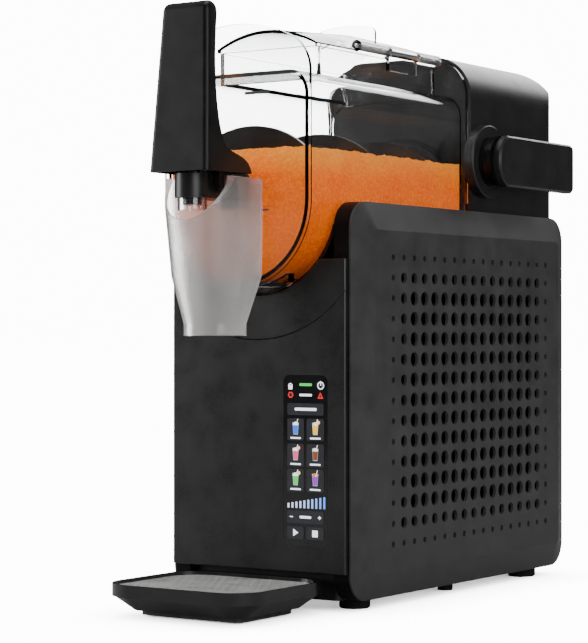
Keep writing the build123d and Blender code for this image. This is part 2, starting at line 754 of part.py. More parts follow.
with BuildPart() as condenser:
    fin_step = (CONDENSER_HIGH[0] - CONDENSER_LOW[0] - 1.2) / (FIN_COUNT - 1)
    fin_middle_y = (CONDENSER_LOW[0] + CONDENSER_HIGH[0]) / 2
    fin_middle_z = (CONDENSER_LOW[1] + CONDENSER_HIGH[1]) / 2
    with Locations(point(CONDENSER_X, fin_middle_y, fin_middle_z)):
        with GridLocations(0, fin_step, 1, FIN_COUNT):
            Box(20, 1.0, CONDENSER_HIGH[1] - CONDENSER_LOW[1])
    with BuildSketch(at_y(CONDENSER_LOW[0] - 3)):
        for row in range(TUBE_ROWS):
            with Locations((CONDENSER_X, CONDENSER_LOW[1] + 10 + 20 * row)):
                Circle(3.5)
    extrude(amount=-(CONDENSER_HIGH[0] - CONDENSER_LOW[0] + 6))
    for row in range(TUBE_ROWS - 1):
        bend_y = CONDENSER_HIGH[0] + 3 if row % 2 == 0 else CONDENSER_LOW[0] - 3
        with BuildSketch(at_y(bend_y)):
            with Locations((CONDENSER_X, CONDENSER_LOW[1] + 10 + 20 * row)):
                Circle(3.5)
        turn = Axis(point(CONDENSER_X, bend_y, CONDENSER_LOW[1] + 20 + 20 * row), (1, 0, 0))
        revolve(axis=turn, revolution_arc=180 if row % 2 == 0 else -180)
save(condenser, "condenser")

FAN_RING = 62.0
with BuildPart() as fan_shroud:
    with BuildSketch(at_x(-41.5)):
        rectangle_between((CONDENSER_LOW[0], CONDENSER_LOW[1]), (CONDENSER_HIGH[0], CONDENSER_HIGH[1]), 3)
    extrude(amount=4)
    with BuildSketch(at_x(-41.5)):
        with Locations((FAN_Y, FAN_Z)):
            Circle(FAN_RING + 3)
    extrude(amount=22)
    with BuildSketch(at_x(-42)):
        with Locations((FAN_Y, FAN_Z)):
            Circle(FAN_RING)
    extrude(amount=23, mode=Mode.SUBTRACT)
    with BuildSketch(at_x(-22.5)):
        with Locations((FAN_Y, FAN_Z)):
            Circle(22)
            Rectangle(2 * FAN_RING + 3, 7)
            Rectangle(7, 2 * FAN_RING + 3)
    extrude(amount=3)
    with BuildSketch(at_x(-23)):
        with Locations((FAN_Y, FAN_Z)):
            Circle(4)
    extrude(amount=4, mode=Mode.SUBTRACT)
save(fan_shroud, "fan_shroud")

with BuildPart() as fan_motor:
    with BuildSketch(at_x(-19.5)):
        with Locations((FAN_Y, FAN_Z)):
            Circle(20)
    extrude(amount=22)
    chamfer(fan_motor.edges().filter_by(GeomType.CIRCLE), 1.5)
    with BuildSketch(at_x(-20)):
        with Locations((FAN_Y, FAN_Z)):
            Circle(3.05)
    extrude(amount=12, mode=Mode.SUBTRACT)
save(fan_motor, "fan_motor")

with BuildPart() as fan_rotor:
    with BuildSketch(at_x(-38)):
        with Locations((FAN_Y, FAN_Z)):
            Circle(18)
    extrude(amount=12)
    with Locations(Location(point(-32, FAN_Y, FAN_Z), (0, 90, 0))):
        with PolarLocations(36, 7):
            Box(44, 20, 1.6, rotation=(28, 0, 0))
    with BuildSketch(at_x(-27)):
        with Locations((FAN_Y, FAN_Z)):
            Circle(3)
    extrude(amount=16)
save(fan_rotor, "fan_rotor")


def tube(name, bend, *places):
    """Round tube along straight runs joined by arcs; places are given from the front panel's face."""
    with BuildPart() as run:
        with BuildLine() as route:
            FilletPolyline(*[point(*place) for place in places], radius=bend)
        with BuildSketch(Plane(route.line @ 0, z_dir=route.line % 0)):
            Circle(TUBE_RADIUS)
        sweep()
    save(run, name)


TURN_Y = 208.6
DRIER_PLACE = (-30.0, 214.0)
DRIER_LOW = 96.0
DRIER_HIGH = 152.0

with BuildPart() as filter_drier:
    with BuildSketch(at_z(DRIER_LOW)):
        with Locations(DRIER_PLACE):
            Circle(8)
    extrude(amount=DRIER_HIGH - DRIER_LOW)
    fillet(filter_drier.edges().filter_by(GeomType.CIRCLE), 4.5)
    with BuildSketch(at_z(DRIER_LOW - 8)):
        with Locations(DRIER_PLACE):
            Circle(3.2)
    extrude(amount=DRIER_HIGH - DRIER_LOW + 16)
save(filter_drier, "filter_drier")

tube(
    "suction_tube",
    3,
    (SUCTION_HOLE[0], 198.2, SUCTION_HOLE[1]),
    (SUCTION_HOLE[0], TURN_Y, SUCTION_HOLE[1]),
    (SUCTION_HOLE[0], TURN_Y, 212),
    (16, COMPRESSOR_Y - 10, 190),
    (16, COMPRESSOR_Y - 10, 154.2),
)
tube(
    "discharge_tube",
    7,
    (-16, COMPRESSOR_Y - 10, 154.2),
    (-16, COMPRESSOR_Y - 10, 196),
    (CONDENSER_X, 214, 196),
    (CONDENSER_X, 214, CONDENSER_LOW[1] + 130),
    (CONDENSER_X, CONDENSER_HIGH[0] + 3.2, CONDENSER_LOW[1] + 130),
)
tube(
    "liquid_tube",
    7,
    (CONDENSER_X, CONDENSER_LOW[0] - 3.2, CONDENSER_LOW[1] + 10),
    (CONDENSER_X, CONDENSER_LOW[0] - 15, CONDENSER_LOW[1] + 10),
    (DRIER_PLACE[0], CONDENSER_LOW[0] - 15, CONDENSER_LOW[1] + 10),
    (DRIER_PLACE[0], CONDENSER_LOW[0] - 15, 32),
    (DRIER_PLACE[0], DRIER_PLACE[1], 32),
    (DRIER_PLACE[0], DRIER_PLACE[1], DRIER_LOW - 8.2),
)
tube(
    "capillary_tube",
    3,
    (DRIER_PLACE[0], DRIER_PLACE[1], DRIER_HIGH + 8.2),
    (DRIER_PLACE[0], DRIER_PLACE[1], 200),
    (LIQUID_HOLE[0], TURN_Y, 214),
    (LIQUID_HOLE[0], TURN_Y, LIQUID_HOLE[1]),
    (LIQUID_HOLE[0], 198.2, LIQUID_HOLE[1]),
)


# ---------------------------------------------------------------- vessel
def tub_outline(shrink):
    """Round-bottomed tub section with a flat top, smaller all round by the given amount."""
    radius = VESSEL_RADIUS - shrink
    top = VESSEL_TOP - shrink
    corner = 17.0 - shrink
    slant = corner * (1 - sqrt(0.5))
    with BuildSketch() as outline:
        with BuildLine():
            ThreePointArc((-radius, AXIS_Z), (0, AXIS_Z - radius), (radius, AXIS_Z))
            Line((radius, AXIS_Z), (radius, top - corner))
            ThreePointArc((radius, top - corner), (radius - slant, top - slant), (radius - corner, top))
            Line((radius - corner, top), (corner - radius, top))
            ThreePointArc((corner - radius, top), (slant - radius, top - slant), (-radius, top - corner))
            Line((-radius, top - corner), (-radius, AXIS_Z))
        make_face()
    return outline.sketch


PLATE_SIDE_TOP = 386.0
PLATE_CROWN = 425.4
LIP_RADIUS = 68.6
KNUCKLE_LOW_Y = 109.4
KNUCKLE_HIGH_Y = 150.6

with BuildPart() as vessel:
    with BuildSketch(at_y(PLATE_FACE + 1)):
        add(tub_outline(0))
    extrude(amount=-(VESSEL_REAR - PLATE_FACE - 1))
    with BuildSketch(at_y(PLATE_FACE)):
        with BuildLine():
            ThreePointArc((-PLATE_HALF, AXIS_Z), (0, AXIS_Z - PLATE_HALF), (PLATE_HALF, AXIS_Z))
            Line((PLATE_HALF, AXIS_Z), (PLATE_HALF, PLATE_SIDE_TOP))
            ThreePointArc((PLATE_HALF, PLATE_SIDE_TOP), (59, 404.5), (46, 415.2))
            ThreePointArc((46, 415.2), (0, PLATE_CROWN), (-46, 415.2))
            ThreePointArc((-46, 415.2), (-59, 404.5), (-PLATE_HALF, PLATE_SIDE_TOP))
            Line((-PLATE_HALF, PLATE_SIDE_TOP), (-PLATE_HALF, AXIS_Z))
        make_face()
    extrude(amount=-PLATE_THICK)
    with BuildSketch(at_y(VESSEL_REAR - 4)):
        with Locations((0, 370)):
            RectangleRounded(132, 99, 30)
        with Locations((0, 380)):
            Rectangle(132, 152, mode=Mode.INTERSECT)
        rectangle_between((-66, 304), (66, 372))
        with Locations((0, AXIS_Z)):
            Circle(63.4)
    extrude(amount=-4)
    with BuildSketch(at_z(VESSEL_TOP - 1)):
        rectangle_between((-PORT_HALF, PORT_FRONT), (PORT_HALF, PORT_REAR), 6)
    extrude(amount=PORT_TOP - VESSEL_TOP + 1)
    with BuildSketch(at_y(PLATE_FACE + PLATE_THICK)):
        add(tub_outline(VESSEL_WALL))
    extrude(amount=-(VESSEL_REAR - 4 - PLATE_FACE - PLATE_THICK), mode=Mode.SUBTRACT)
    with BuildSketch(at_z(VESSEL_TOP - 6)):
        rectangle_between((-PORT_HALF + 3, PORT_FRONT + 3), (PORT_HALF - 3, PORT_REAR - 3), 3)
    extrude(amount=40, mode=Mode.SUBTRACT)
    with BuildSketch(at_y(VESSEL_REAR - 5)):
        with Locations((0, AXIS_Z)):
            Circle(REAR_OPENING)
    extrude(amount=-8, mode=Mode.SUBTRACT)
    with BuildSketch(at_y(PLATE_FACE - 1)):
        with Locations((0, PASSAGE_Z)):
            Circle(8.1)
    extrude(amount=-6, mode=Mode.SUBTRACT)
    with BuildSketch(at_y(-9)):
        with Locations((0, AXIS_Z)):
            Circle(LIP_RADIUS)
            Circle(VESSEL_RADIUS - 1, mode=Mode.SUBTRACT)
        with Locations((0, AXIS_Z - 60)):
            Rectangle(68, 14, mode=Mode.INTERSECT)
    extrude(amount=-7.5)
    with BuildSketch(at_y(6)):
        with Locations((0, AXIS_Z)):
            with PolarLocations(VESSEL_RADIUS + 1.2, 2, start_angle=-112, angular_range=44, endpoint=True):
                Rectangle(5, 4)
    extrude(amount=-180)
    with BuildSketch(at_y(KNUCKLE_LOW_Y)):
        rectangle_between((PORT_HALF - 2, PORT_TOP - 9), (HINGE_X + 1.5, HINGE_Z - 2))
        with Locations((HINGE_X, HINGE_Z)):
            Circle(KNUCKLE_RADIUS)
            Circle(PIN_RADIUS + RUNNING_GAP, mode=Mode.SUBTRACT)
    extrude(amount=KNUCKLE_LOW_Y - KNUCKLE_HIGH_Y)
save(vessel, "vessel")


# ---------------------------------------------------------------- filling port lid
def lid_section(y, half, side, crown):
    """Arched section of the lid at the given distance behind the front panel."""
    base = PORT_TOP + 0.3
    with BuildSketch(at_y(y)) as outline:
        with BuildLine():
            Line((-half, base), (half, base))
            Line((half, base), (half, side))
            ThreePointArc((half, side), (0, crown), (-half, side))
            Line((-half, side), (-half, base))
        make_face()
    return outline.sketch


LID_SIDE = 414.0
LID_MIDDLE = 108.0
TAB_Y = 122.0

LID_WALL = 2.4
outer_sections = [
    lid_section(PORT_FRONT, PORT_HALF, LID_SIDE, 425.6),
    lid_section(LID_MIDDLE, PORT_HALF, LID_SIDE, 432.4),
    lid_section(PORT_REAR, PORT_HALF, LID_SIDE, 431.0),
]
inner_half = PORT_HALF - LID_WALL
inner_side = LID_SIDE - 0.8
inner_sections = [
    lid_section(PORT_FRONT + LID_WALL, inner_half, inner_side, 425.6 - LID_WALL),
    lid_section(LID_MIDDLE, inner_half, inner_side, 432.4 - LID_WALL),
    lid_section(PORT_REAR - LID_WALL, inner_half, inner_side, 431.0 - LID_WALL),
]

with BuildPart() as fill_lid:
    loft(outer_sections[:2], ruled=True)
    loft(outer_sections[1:], ruled=True)
    with BuildSketch(at_y(TAB_Y)):
        with BuildLine():
            Line((-26, 424), (26, 424))
            Line((26, 424), (26, 434))
            ThreePointArc((26, 434), (25, 437), (22, 438.7))
            ThreePointArc((22, 438.7), (0, 441), (-22, 438.7))
            ThreePointArc((-22, 438.7), (-25, 437), (-26, 434))
            Line((-26, 434), (-26, 424))
        make_face()
    extrude(amount=-2.5)
    loft(inner_sections[:2], ruled=True, mode=Mode.SUBTRACT)
    loft(inner_sections[1:], ruled=True, mode=Mode.SUBTRACT)
    with BuildSketch(at_y(KNUCKLE_LOW_Y - 0.4)):
        rectangle_between((PORT_HALF - 3, PORT_TOP), (HINGE_X + 6, HINGE_Z))
        with Locations((HINGE_X, HINGE_Z)):
            Circle(KNUCKLE_RADIUS + 0.6)
    extrude(amount=KNUCKLE_LOW_Y - KNUCKLE_HIGH_Y - 0.8, mode=Mode.SUBTRACT)
    for low_y, high_y in ((65.0, KNUCKLE_LOW_Y - 0.4), (KNUCKLE_HIGH_Y + 0.4, 184.0)):
        with BuildSketch(at_y(low_y)):
            with Locations((HINGE_X, HINGE_Z)):
                Circle(KNUCKLE_RADIUS)
        extrude(amount=low_y - high_y)
    with BuildSketch(at_y(60)):
        with Locations((HINGE_X, HINGE_Z)):
            Circle(PIN_RADIUS)
    extrude(amount=-130, mode=Mode.SUBTRACT)
save(fill_lid, "filling_lid")

with BuildPart() as hinge_pin:
    with BuildSketch(at_y(65.5)):
        with Locations((HINGE_X, HINGE_Z)):
            Circle(PIN_RADIUS)
    extrude(amount=-118)
save(hinge_pin, "lid_hinge_pin")

# ---------------------------------------------------------------- tap
FLANGE_HALF = 13.0

with BuildPart() as spout_housing:
    with BuildSketch(at_z(BARREL_LOW)):
        with Locations((0, BARREL_Y)):
            Circle(BARREL_RADIUS)
    extrude(amount=BARREL_TOP - BARREL_LOW)
    with BuildSketch(at_y(BARREL_Y)):
        rectangle_between((-NECK_HALF, BARREL_LOW), (NECK_HALF, BARREL_TOP))
    extrude(amount=BARREL_Y + 28)
    with BuildSketch(at_y(-30.6)):
        rectangle_between((-FLANGE_HALF, 291), (FLANGE_HALF, 317), 4)
    extrude(amount=-3)
    with BuildSketch(at_y(-28)):
        with Locations((0, PASSAGE_Z)):
            Circle(8)
    extrude(amount=-6.4)
    with BuildSketch(at_x(-17.5)):
        with Locations((PIVOT_Y, PIVOT_Z)):
            Circle(TRUNNION_RADIUS)
    extrude(amount=35)
    with BuildSketch(at_y(BARREL_Y)):
        with Locations((0, PASSAGE_Z)):
            Circle(PASSAGE_RADIUS)
    extrude(amount=BARREL_Y + 20, mode=Mode.SUBTRACT)
    with BuildSketch(at_z(BARREL_LOW)):
        with Locations((0, BARREL_Y)):
            Circle(6.2)
    extrude(amount=14, mode=Mode.SUBTRACT)
    with BuildSketch(at_z(BARREL_LOW)):
        with Locations((0, BARREL_Y)):
            Circle(2.5 + RUNNING_GAP)
    extrude(amount=30, mode=Mode.SUBTRACT)
save(spout_housing, "spout_housing")

with BuildPart() as tap_gasket:
    with BuildSketch(at_y(-27.6)):
        with Locations((0, PASSAGE_Z)):
            Circle(12)
            Circle(8.1, mode=Mode.SUBTRACT)
    extrude(amount=-0.6)
save(tap_gasket, "tap_gasket")

with BuildPart() as nozzle:
    with BuildSketch(at_z(NOZZLE_LOW)):
        with Locations((0, BARREL_Y)):
            Circle(NOZZLE_OUTER)
            Circle(NOZZLE_INNER, mode=Mode.SUBTRACT)
    extrude(amount=BARREL_LOW - NOZZLE_LOW)
save(nozzle, "outlet_nozzle")

BUTTON_TOP = 330.7
with BuildPart() as poppet:
    with BuildSketch(at_z(292.3)):
        with Locations((0, BARREL_Y)):
            Circle(6.7)
    extrude(amount=3.7)
    with BuildSketch(at_z(292.3)):
        with Locations((0, BARREL_Y)):
            Circle(2.5)
    extrude(amount=BUTTON_TOP - 292.3)
    with BuildSketch(at_z(BUTTON_TOP - 2.5)):
        with Locations((0, BARREL_Y)):
            Circle(5)
    extrude(amount=2.5)
save(poppet, "valve_poppet")

with BuildPart() as poppet_seal:
    with BuildSketch(at_z(296)):
        with Locations((0, BARREL_Y)):
            Circle(6.7)
            Circle(2.5, mode=Mode.SUBTRACT)
    extrude(amount=0.9)
save(poppet_seal, "poppet_seal")

with BuildPart() as valve_spring:
    with BuildLine() as spring_path:
        Helix(pitch=4.2, height=12.6, radius=3.9, center=point(0, BARREL_Y, BARREL_TOP + 0.7))
    with BuildSketch(Plane(spring_path.line @ 0, z_dir=spring_path.line % 0)):
        Circle(0.5)
    sweep(is_frenet=True)
save(valve_spring, "valve_spring")

HANDLE_LOW = 315.0
HANDLE_HIGH = 434.5
HANDLE_FOOT = 25.8  # half width at the bottom
HANDLE_TIP = 20.0  # half width at the top
EAR_RADIUS = 7.5

with BuildPart() as handle:
    with BuildSketch(at_x(-30)):
        with BuildLine():
            Polyline((-43, HANDLE_LOW), (-97, HANDLE_LOW), (-89.2, 428))
            ThreePointArc((-89.2, 428), (-86.5, HANDLE_HIGH - 1.2), (-84, HANDLE_HIGH))
            ThreePointArc((-84, HANDLE_HIGH), (-79.8, 431.4), (-78.2, 425))
            Spline(
                (-78.2, 425),
                (-82.4, 388),
                (-81.3, 358.6),
                (-78.4, 343.7),
                (-73.0, 333.6),
                (-60.7, 328.2),
                (-49.0, 323.8),
                (-43, HANDLE_LOW),
            )
        make_face()
    extrude(amount=60)
    with BuildSketch(at_y(-110)):
        with BuildLine():
            Polyline(
                (-HANDLE_FOOT, HANDLE_LOW),
                (HANDLE_FOOT, HANDLE_LOW),
                (HANDLE_TIP, HANDLE_HIGH),
                (-HANDLE_TIP, HANDLE_HIGH),
                close=True,
            )
        make_face()
    extrude(amount=-80, mode=Mode.INTERSECT)
    front_sides = handle.faces().sort_by(Axis.Y)[0].edges().filter_by(GeomType.LINE).sort_by(Axis.X)
    fillet([front_sides[0], front_sides[-1]], 4.0)
    with BuildSketch(at_x(-22.8)):
        with BuildLine():
            Polyline(
                (-94.2, HANDLE_LOW - 1),
                (-93.2, 331),
                (-73.4, 331),
                (-69, 328),
                (-60, 324.6),
                (-50, 320.2),
                (-46, HANDLE_LOW - 1),
                close=True,
            )
        make_face()
    extrude(amount=45.6, mode=Mode.SUBTRACT)
    for ear_x in (-16.5, 12.0):
        with BuildSketch(at_x(ear_x)):
            with BuildLine():
                Polyline(
                    (PIVOT_Y - EAR_RADIUS, PIVOT_Z),
                    (PIVOT_Y - EAR_RADIUS, 329.6),
                    (PIVOT_Y, 326.6),
                    (PIVOT_Y + EAR_RADIUS, 324),
                    (PIVOT_Y + EAR_RADIUS, PIVOT_Z),
                    close=True,
                )
            make_face()
            with Locations((PIVOT_Y, PIVOT_Z)):
                Circle(EAR_RADIUS)
                Circle(TRUNNION_RADIUS + RUNNING_GAP, mode=Mode.SUBTRACT)
        extrude(amount=4.5)
save(handle, "tap_handle")

# ---------------------------------------------------------------- spout shroud
SHROUD_WALL = 2.0
SHROUD_REAR = -29.6
SHROUD_TOP = 312.0
SHROUD_HALF = 29.0
SHROUD_MOUTH_HALF = 26.9  # cut in the front wall that the handle moves through
SHROUD_MOUTH_DROP = 31.0
SHROUD_EAR_CORNER = 9.0  # rounding of the side walls' upper rear corners
# height, half width, front, rear, front corner radius, rear corner radius
SHROUD_SECTIONS = [
    (200.0, 21.0, -73.5, -33.5, 18.0, 14.0),
    (208.5, 21.0, -73.5, -33.5, 18.0, 14.0),
    (242.0, 28.6, -84.0, SHROUD_REAR, 27.0, 8.0),
    (292.0, SHROUD_HALF, -92.0, SHROUD_REAR, 28.0, 7.0),
    (SHROUD_TOP, SHROUD_HALF, -92.0, SHROUD_REAR, 28.0, 7.0),
]


def shroud_section(height, half, front, rear, front_corner, rear_corner, shrink):
    """Rounded section of the shroud, smaller all round by the given amount."""
    half = half - shrink
    low = front + shrink
    high = rear - shrink
    fore = front_corner - shrink
    aft = rear_corner - shrink
    fore_slant = fore * (1 - sqrt(0.5))
    aft_slant = aft * (1 - sqrt(0.5))
    with BuildSketch(at_z(height)) as outline:
        with BuildLine():
            Line((fore - half, low), (half - fore, low))
            ThreePointArc((half - fore, low), (half - fore_slant, low + fore_slant), (half, low + fore))
            Line((half, low + fore), (half, high - aft))
            ThreePointArc((half, high - aft), (half - aft_slant, high - aft_slant), (half - aft, high))
            Line((half - aft, high), (aft - half, high))
            ThreePointArc((aft - half, high), (aft_slant - half, high - aft_slant), (-half, high - aft))
            Line((-half, high - aft), (-half, low + fore))
            ThreePointArc((-half, low + fore), (fore_slant - half, low + fore_slant), (fore - half, low))
        make_face()
    return outline.sketch


with BuildPart() as shroud:
    for lower, upper in zip(SHROUD_SECTIONS, SHROUD_SECTIONS[1:]):
        loft([shroud_section(*lower, 0), shroud_section(*upper, 0)], ruled=True)
    for lower, upper in zip(SHROUD_SECTIONS, SHROUD_SECTIONS[1:]):
        inner = [shroud_section(*lower, SHROUD_WALL), shroud_section(*upper, SHROUD_WALL)]
        loft(inner, ruled=True, mode=Mode.SUBTRACT)
    with BuildSketch(at_y(-100)):
        with Locations((0, SHROUD_TOP)):
            Ellipse(SHROUD_MOUTH_HALF, SHROUD_MOUTH_DROP)
    extrude(amount=-36, mode=Mode.SUBTRACT)
    with BuildSketch(at_y(-40)):
        rectangle_between((-FLANGE_HALF - 0.3, 290.4), (FLANGE_HALF + 0.3, 320))
    extrude(amount=-14, mode=Mode.SUBTRACT)
    with BuildSketch(at_x(-SHROUD_HALF - 1)):
        rectangle_between(
            (SHROUD_REAR - SHROUD_EAR_CORNER, SHROUD_TOP - SHROUD_EAR_CORNER),
            (SHROUD_REAR + 2, SHROUD_TOP + 2),
        )
        with Locations((SHROUD_REAR - SHROUD_EAR_CORNER, SHROUD_TOP - SHROUD_EAR_CORNER)):
            Circle(SHROUD_EAR_CORNER, mode=Mode.SUBTRACT)
    extrude(amount=2 * SHROUD_HALF + 2, mode=Mode.SUBTRACT)
save(shroud, "spout_shroud")

# ---------------------------------------------------------------- vessel lock lever
with BuildPart() as lock_disc:
    with BuildSketch(at_x(HEAD_HALF + 6.3)):
        with Locations((LEVER_Y, LEVER_Z)):
            Circle(LEVER_DISC)
            Circle(LEVER_SHAFT, mode=Mode.SUBTRACT)
    extrude(amount=2.4)
    chamfer(lock_disc.faces().sort_by(Axis.X)[-1].edges().sort_by(SortBy.LENGTH)[-1], 0.8)
save(lock_disc, "lever_disc")

with BuildPart() as lever_hub:
    with BuildSketch(at_x(HEAD_HALF + 8.7)):
        with Locations((LEVER_Y, LEVER_Z)):
            Circle(LEVER_HALF)
            Circle(LEVER_SHAFT, mode=Mode.SUBTRACT)
    extrude(amount=LEVER_INNER - HEAD_HALF - 8.7)
save(lever_hub, "lever_hub")

with BuildPart() as lever_shaft:
    with BuildSketch(at_x(56)):
        with Locations((LEVER_Y, LEVER_Z)):
            Circle(LEVER_SHAFT)
    extrude(amount=LEVER_INNER - 56)
    with BuildSketch(at_x(56)):
        with Locations((LEVER_Y - 1, LEVER_Z)):
            Circle(11)
    extrude(amount=6)
save(lever_shaft, "lever_shaft")

with BuildPart() as lever:
    with BuildSketch(at_x(LEVER_INNER)) as lever_face:
        low_z = LEVER_Z - LEVER_HALF
        high_z = LEVER_Z + LEVER_HALF
        bend_y = LEVER_REAR - LEVER_CORNER
        slant = LEVER_CORNER * (1 - sqrt(0.5))
        with BuildLine():
            ThreePointArc((LEVER_Y, high_z), (LEVER_Y - LEVER_NOSE, LEVER_Z), (LEVER_Y, low_z))
            Line((LEVER_Y, low_z), (bend_y, low_z))
            ThreePointArc(
                (bend_y, low_z), (LEVER_REAR - slant, low_z + slant), (LEVER_REAR, low_z + LEVER_CORNER)
            )
            Line((LEVER_REAR, low_z + LEVER_CORNER), (LEVER_REAR, high_z - LEVER_CORNER))
            ThreePointArc(
                (LEVER_REAR, high_z - LEVER_CORNER), (LEVER_REAR - slant, high_z - slant), (bend_y, high_z)
            )
            Line((bend_y, high_z), (LEVER_Y, high_z))
        make_face()
        fillet(lever_face.vertices().group_by(Axis.X)[0], 6)
    extrude(amount=LEVER_OUTER - LEVER_INNER)
    chamfer(lever.faces().sort_by(Axis.X)[-1].edges(), 1.6)
save(lever, "lock_lever")


# ---------------------------------------------------------------- drip tray
def tray_outline(height, inset, rear=TRAY_REAR):
    """Rounded outline of the tray at a height, drawn in from the rim by the inset."""
    low = (-TRAY_HALF + inset, TRAY_FRONT + inset)
    high = (TRAY_HALF - inset, rear - inset)
    with BuildSketch(at_z(height)) as outline:
        rectangle_between(low, high, TRAY_CORNER - inset)
    return outline.sketch


with BuildPart() as drip_tray:
    with BuildSketch(at_z(TRAY_BAND_LOW)):
        rectangle_between((-TRAY_HALF, TRAY_FRONT), (TRAY_HALF, TRAY_REAR), TRAY_CORNER)
    extrude(amount=TRAY_TOP - TRAY_BAND_LOW)
    loft([tray_outline(TRAY_LOW, 16), tray_outline(TRAY_BAND_LOW, 1.2)], ruled=True)
    with BuildSketch(at_z(TONGUE_LOW)):
        rectangle_between((-TONGUE_HALF, -12), (TONGUE_HALF, 40))
    extrude(amount=TONGUE_THICK)
    with BuildSketch(at_z(GRATE_LOW - 0.1)):
        rectangle_between((-TRAY_HALF + 2, TRAY_FRONT + 2), (TRAY_HALF - 2, -0.6), TRAY_CORNER - 2)
    extrude(amount=10, mode=Mode.SUBTRACT)
    ledge = TRAY_BAND_LOW + 0.5
    basin = [tray_outline(7.4, 18.5, TRAY_REAR - 2), tray_outline(ledge, TRAY_WALL, TRAY_REAR - 4)]
    loft(basin, ruled=True, mode=Mode.SUBTRACT)
    with BuildSketch(at_z(ledge)):
        rectangle_between(
            (-TRAY_HALF + TRAY_WALL, TRAY_FRONT + TRAY_WALL),
            (TRAY_HALF - TRAY_WALL, TRAY_REAR - 4 - TRAY_WALL),
            TRAY_CORNER - TRAY_WALL,
        )
    extrude(amount=6, mode=Mode.SUBTRACT)
save(drip_tray, "drip_tray")

with BuildPart() as tray_pad:
    with BuildSketch(at_z(1.3)):
        rectangle_between((-43.8, -84), (43.8, -15.5), 6)
    extrude(amount=TRAY_LOW - 1.3)
save(tray_pad, "tray_pad")

GRATE_PITCH = 6.6
GRATE_ROWS = 17
GRATE_COLUMNS = 17
with BuildPart() as drip_grate:
    with BuildSketch(at_z(GRATE_LOW)):
        rectangle_between((-TRAY_HALF + 2.4, TRAY_FRONT + 2.4), (TRAY_HALF - 2.4, -1), TRAY_CORNER - 2.4)
        middle = (TRAY_FRONT + 1.4) / 2
        with Locations((0, middle)):
            with GridLocations(GRATE_PITCH, 2 * GRATE_PITCH * 0.85, GRATE_COLUMNS, 8):
                Circle(1.7, mode=Mode.SUBTRACT)
        with Locations((0, middle)):
            with GridLocations(GRATE_PITCH, 2 * GRATE_PITCH * 0.85, GRATE_COLUMNS - 1, 9):
                Circle(1.7, mode=Mode.SUBTRACT)
    extrude(amount=GRATE_THICK)
save(drip_grate, "drip_grate")
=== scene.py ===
import json
import math

import bmesh
import bpy
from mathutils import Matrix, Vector, noise


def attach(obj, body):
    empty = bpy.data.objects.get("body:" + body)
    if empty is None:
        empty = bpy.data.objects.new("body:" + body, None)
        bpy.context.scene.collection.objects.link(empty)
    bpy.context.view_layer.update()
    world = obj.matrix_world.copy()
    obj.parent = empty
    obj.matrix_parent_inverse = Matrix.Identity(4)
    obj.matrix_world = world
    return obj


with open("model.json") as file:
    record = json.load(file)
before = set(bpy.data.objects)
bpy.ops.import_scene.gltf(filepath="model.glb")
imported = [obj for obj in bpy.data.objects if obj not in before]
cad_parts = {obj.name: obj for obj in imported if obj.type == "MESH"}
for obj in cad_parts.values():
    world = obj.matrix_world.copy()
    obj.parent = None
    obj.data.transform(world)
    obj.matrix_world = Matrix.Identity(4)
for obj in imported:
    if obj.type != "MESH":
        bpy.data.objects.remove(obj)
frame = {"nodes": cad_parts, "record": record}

RECORD = frame["record"]
NODES = frame["nodes"]
SLOT_OF = {entry["node"]: entry["material_slot"] for entry in RECORD["subparts"]}
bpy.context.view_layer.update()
MM = 0.001


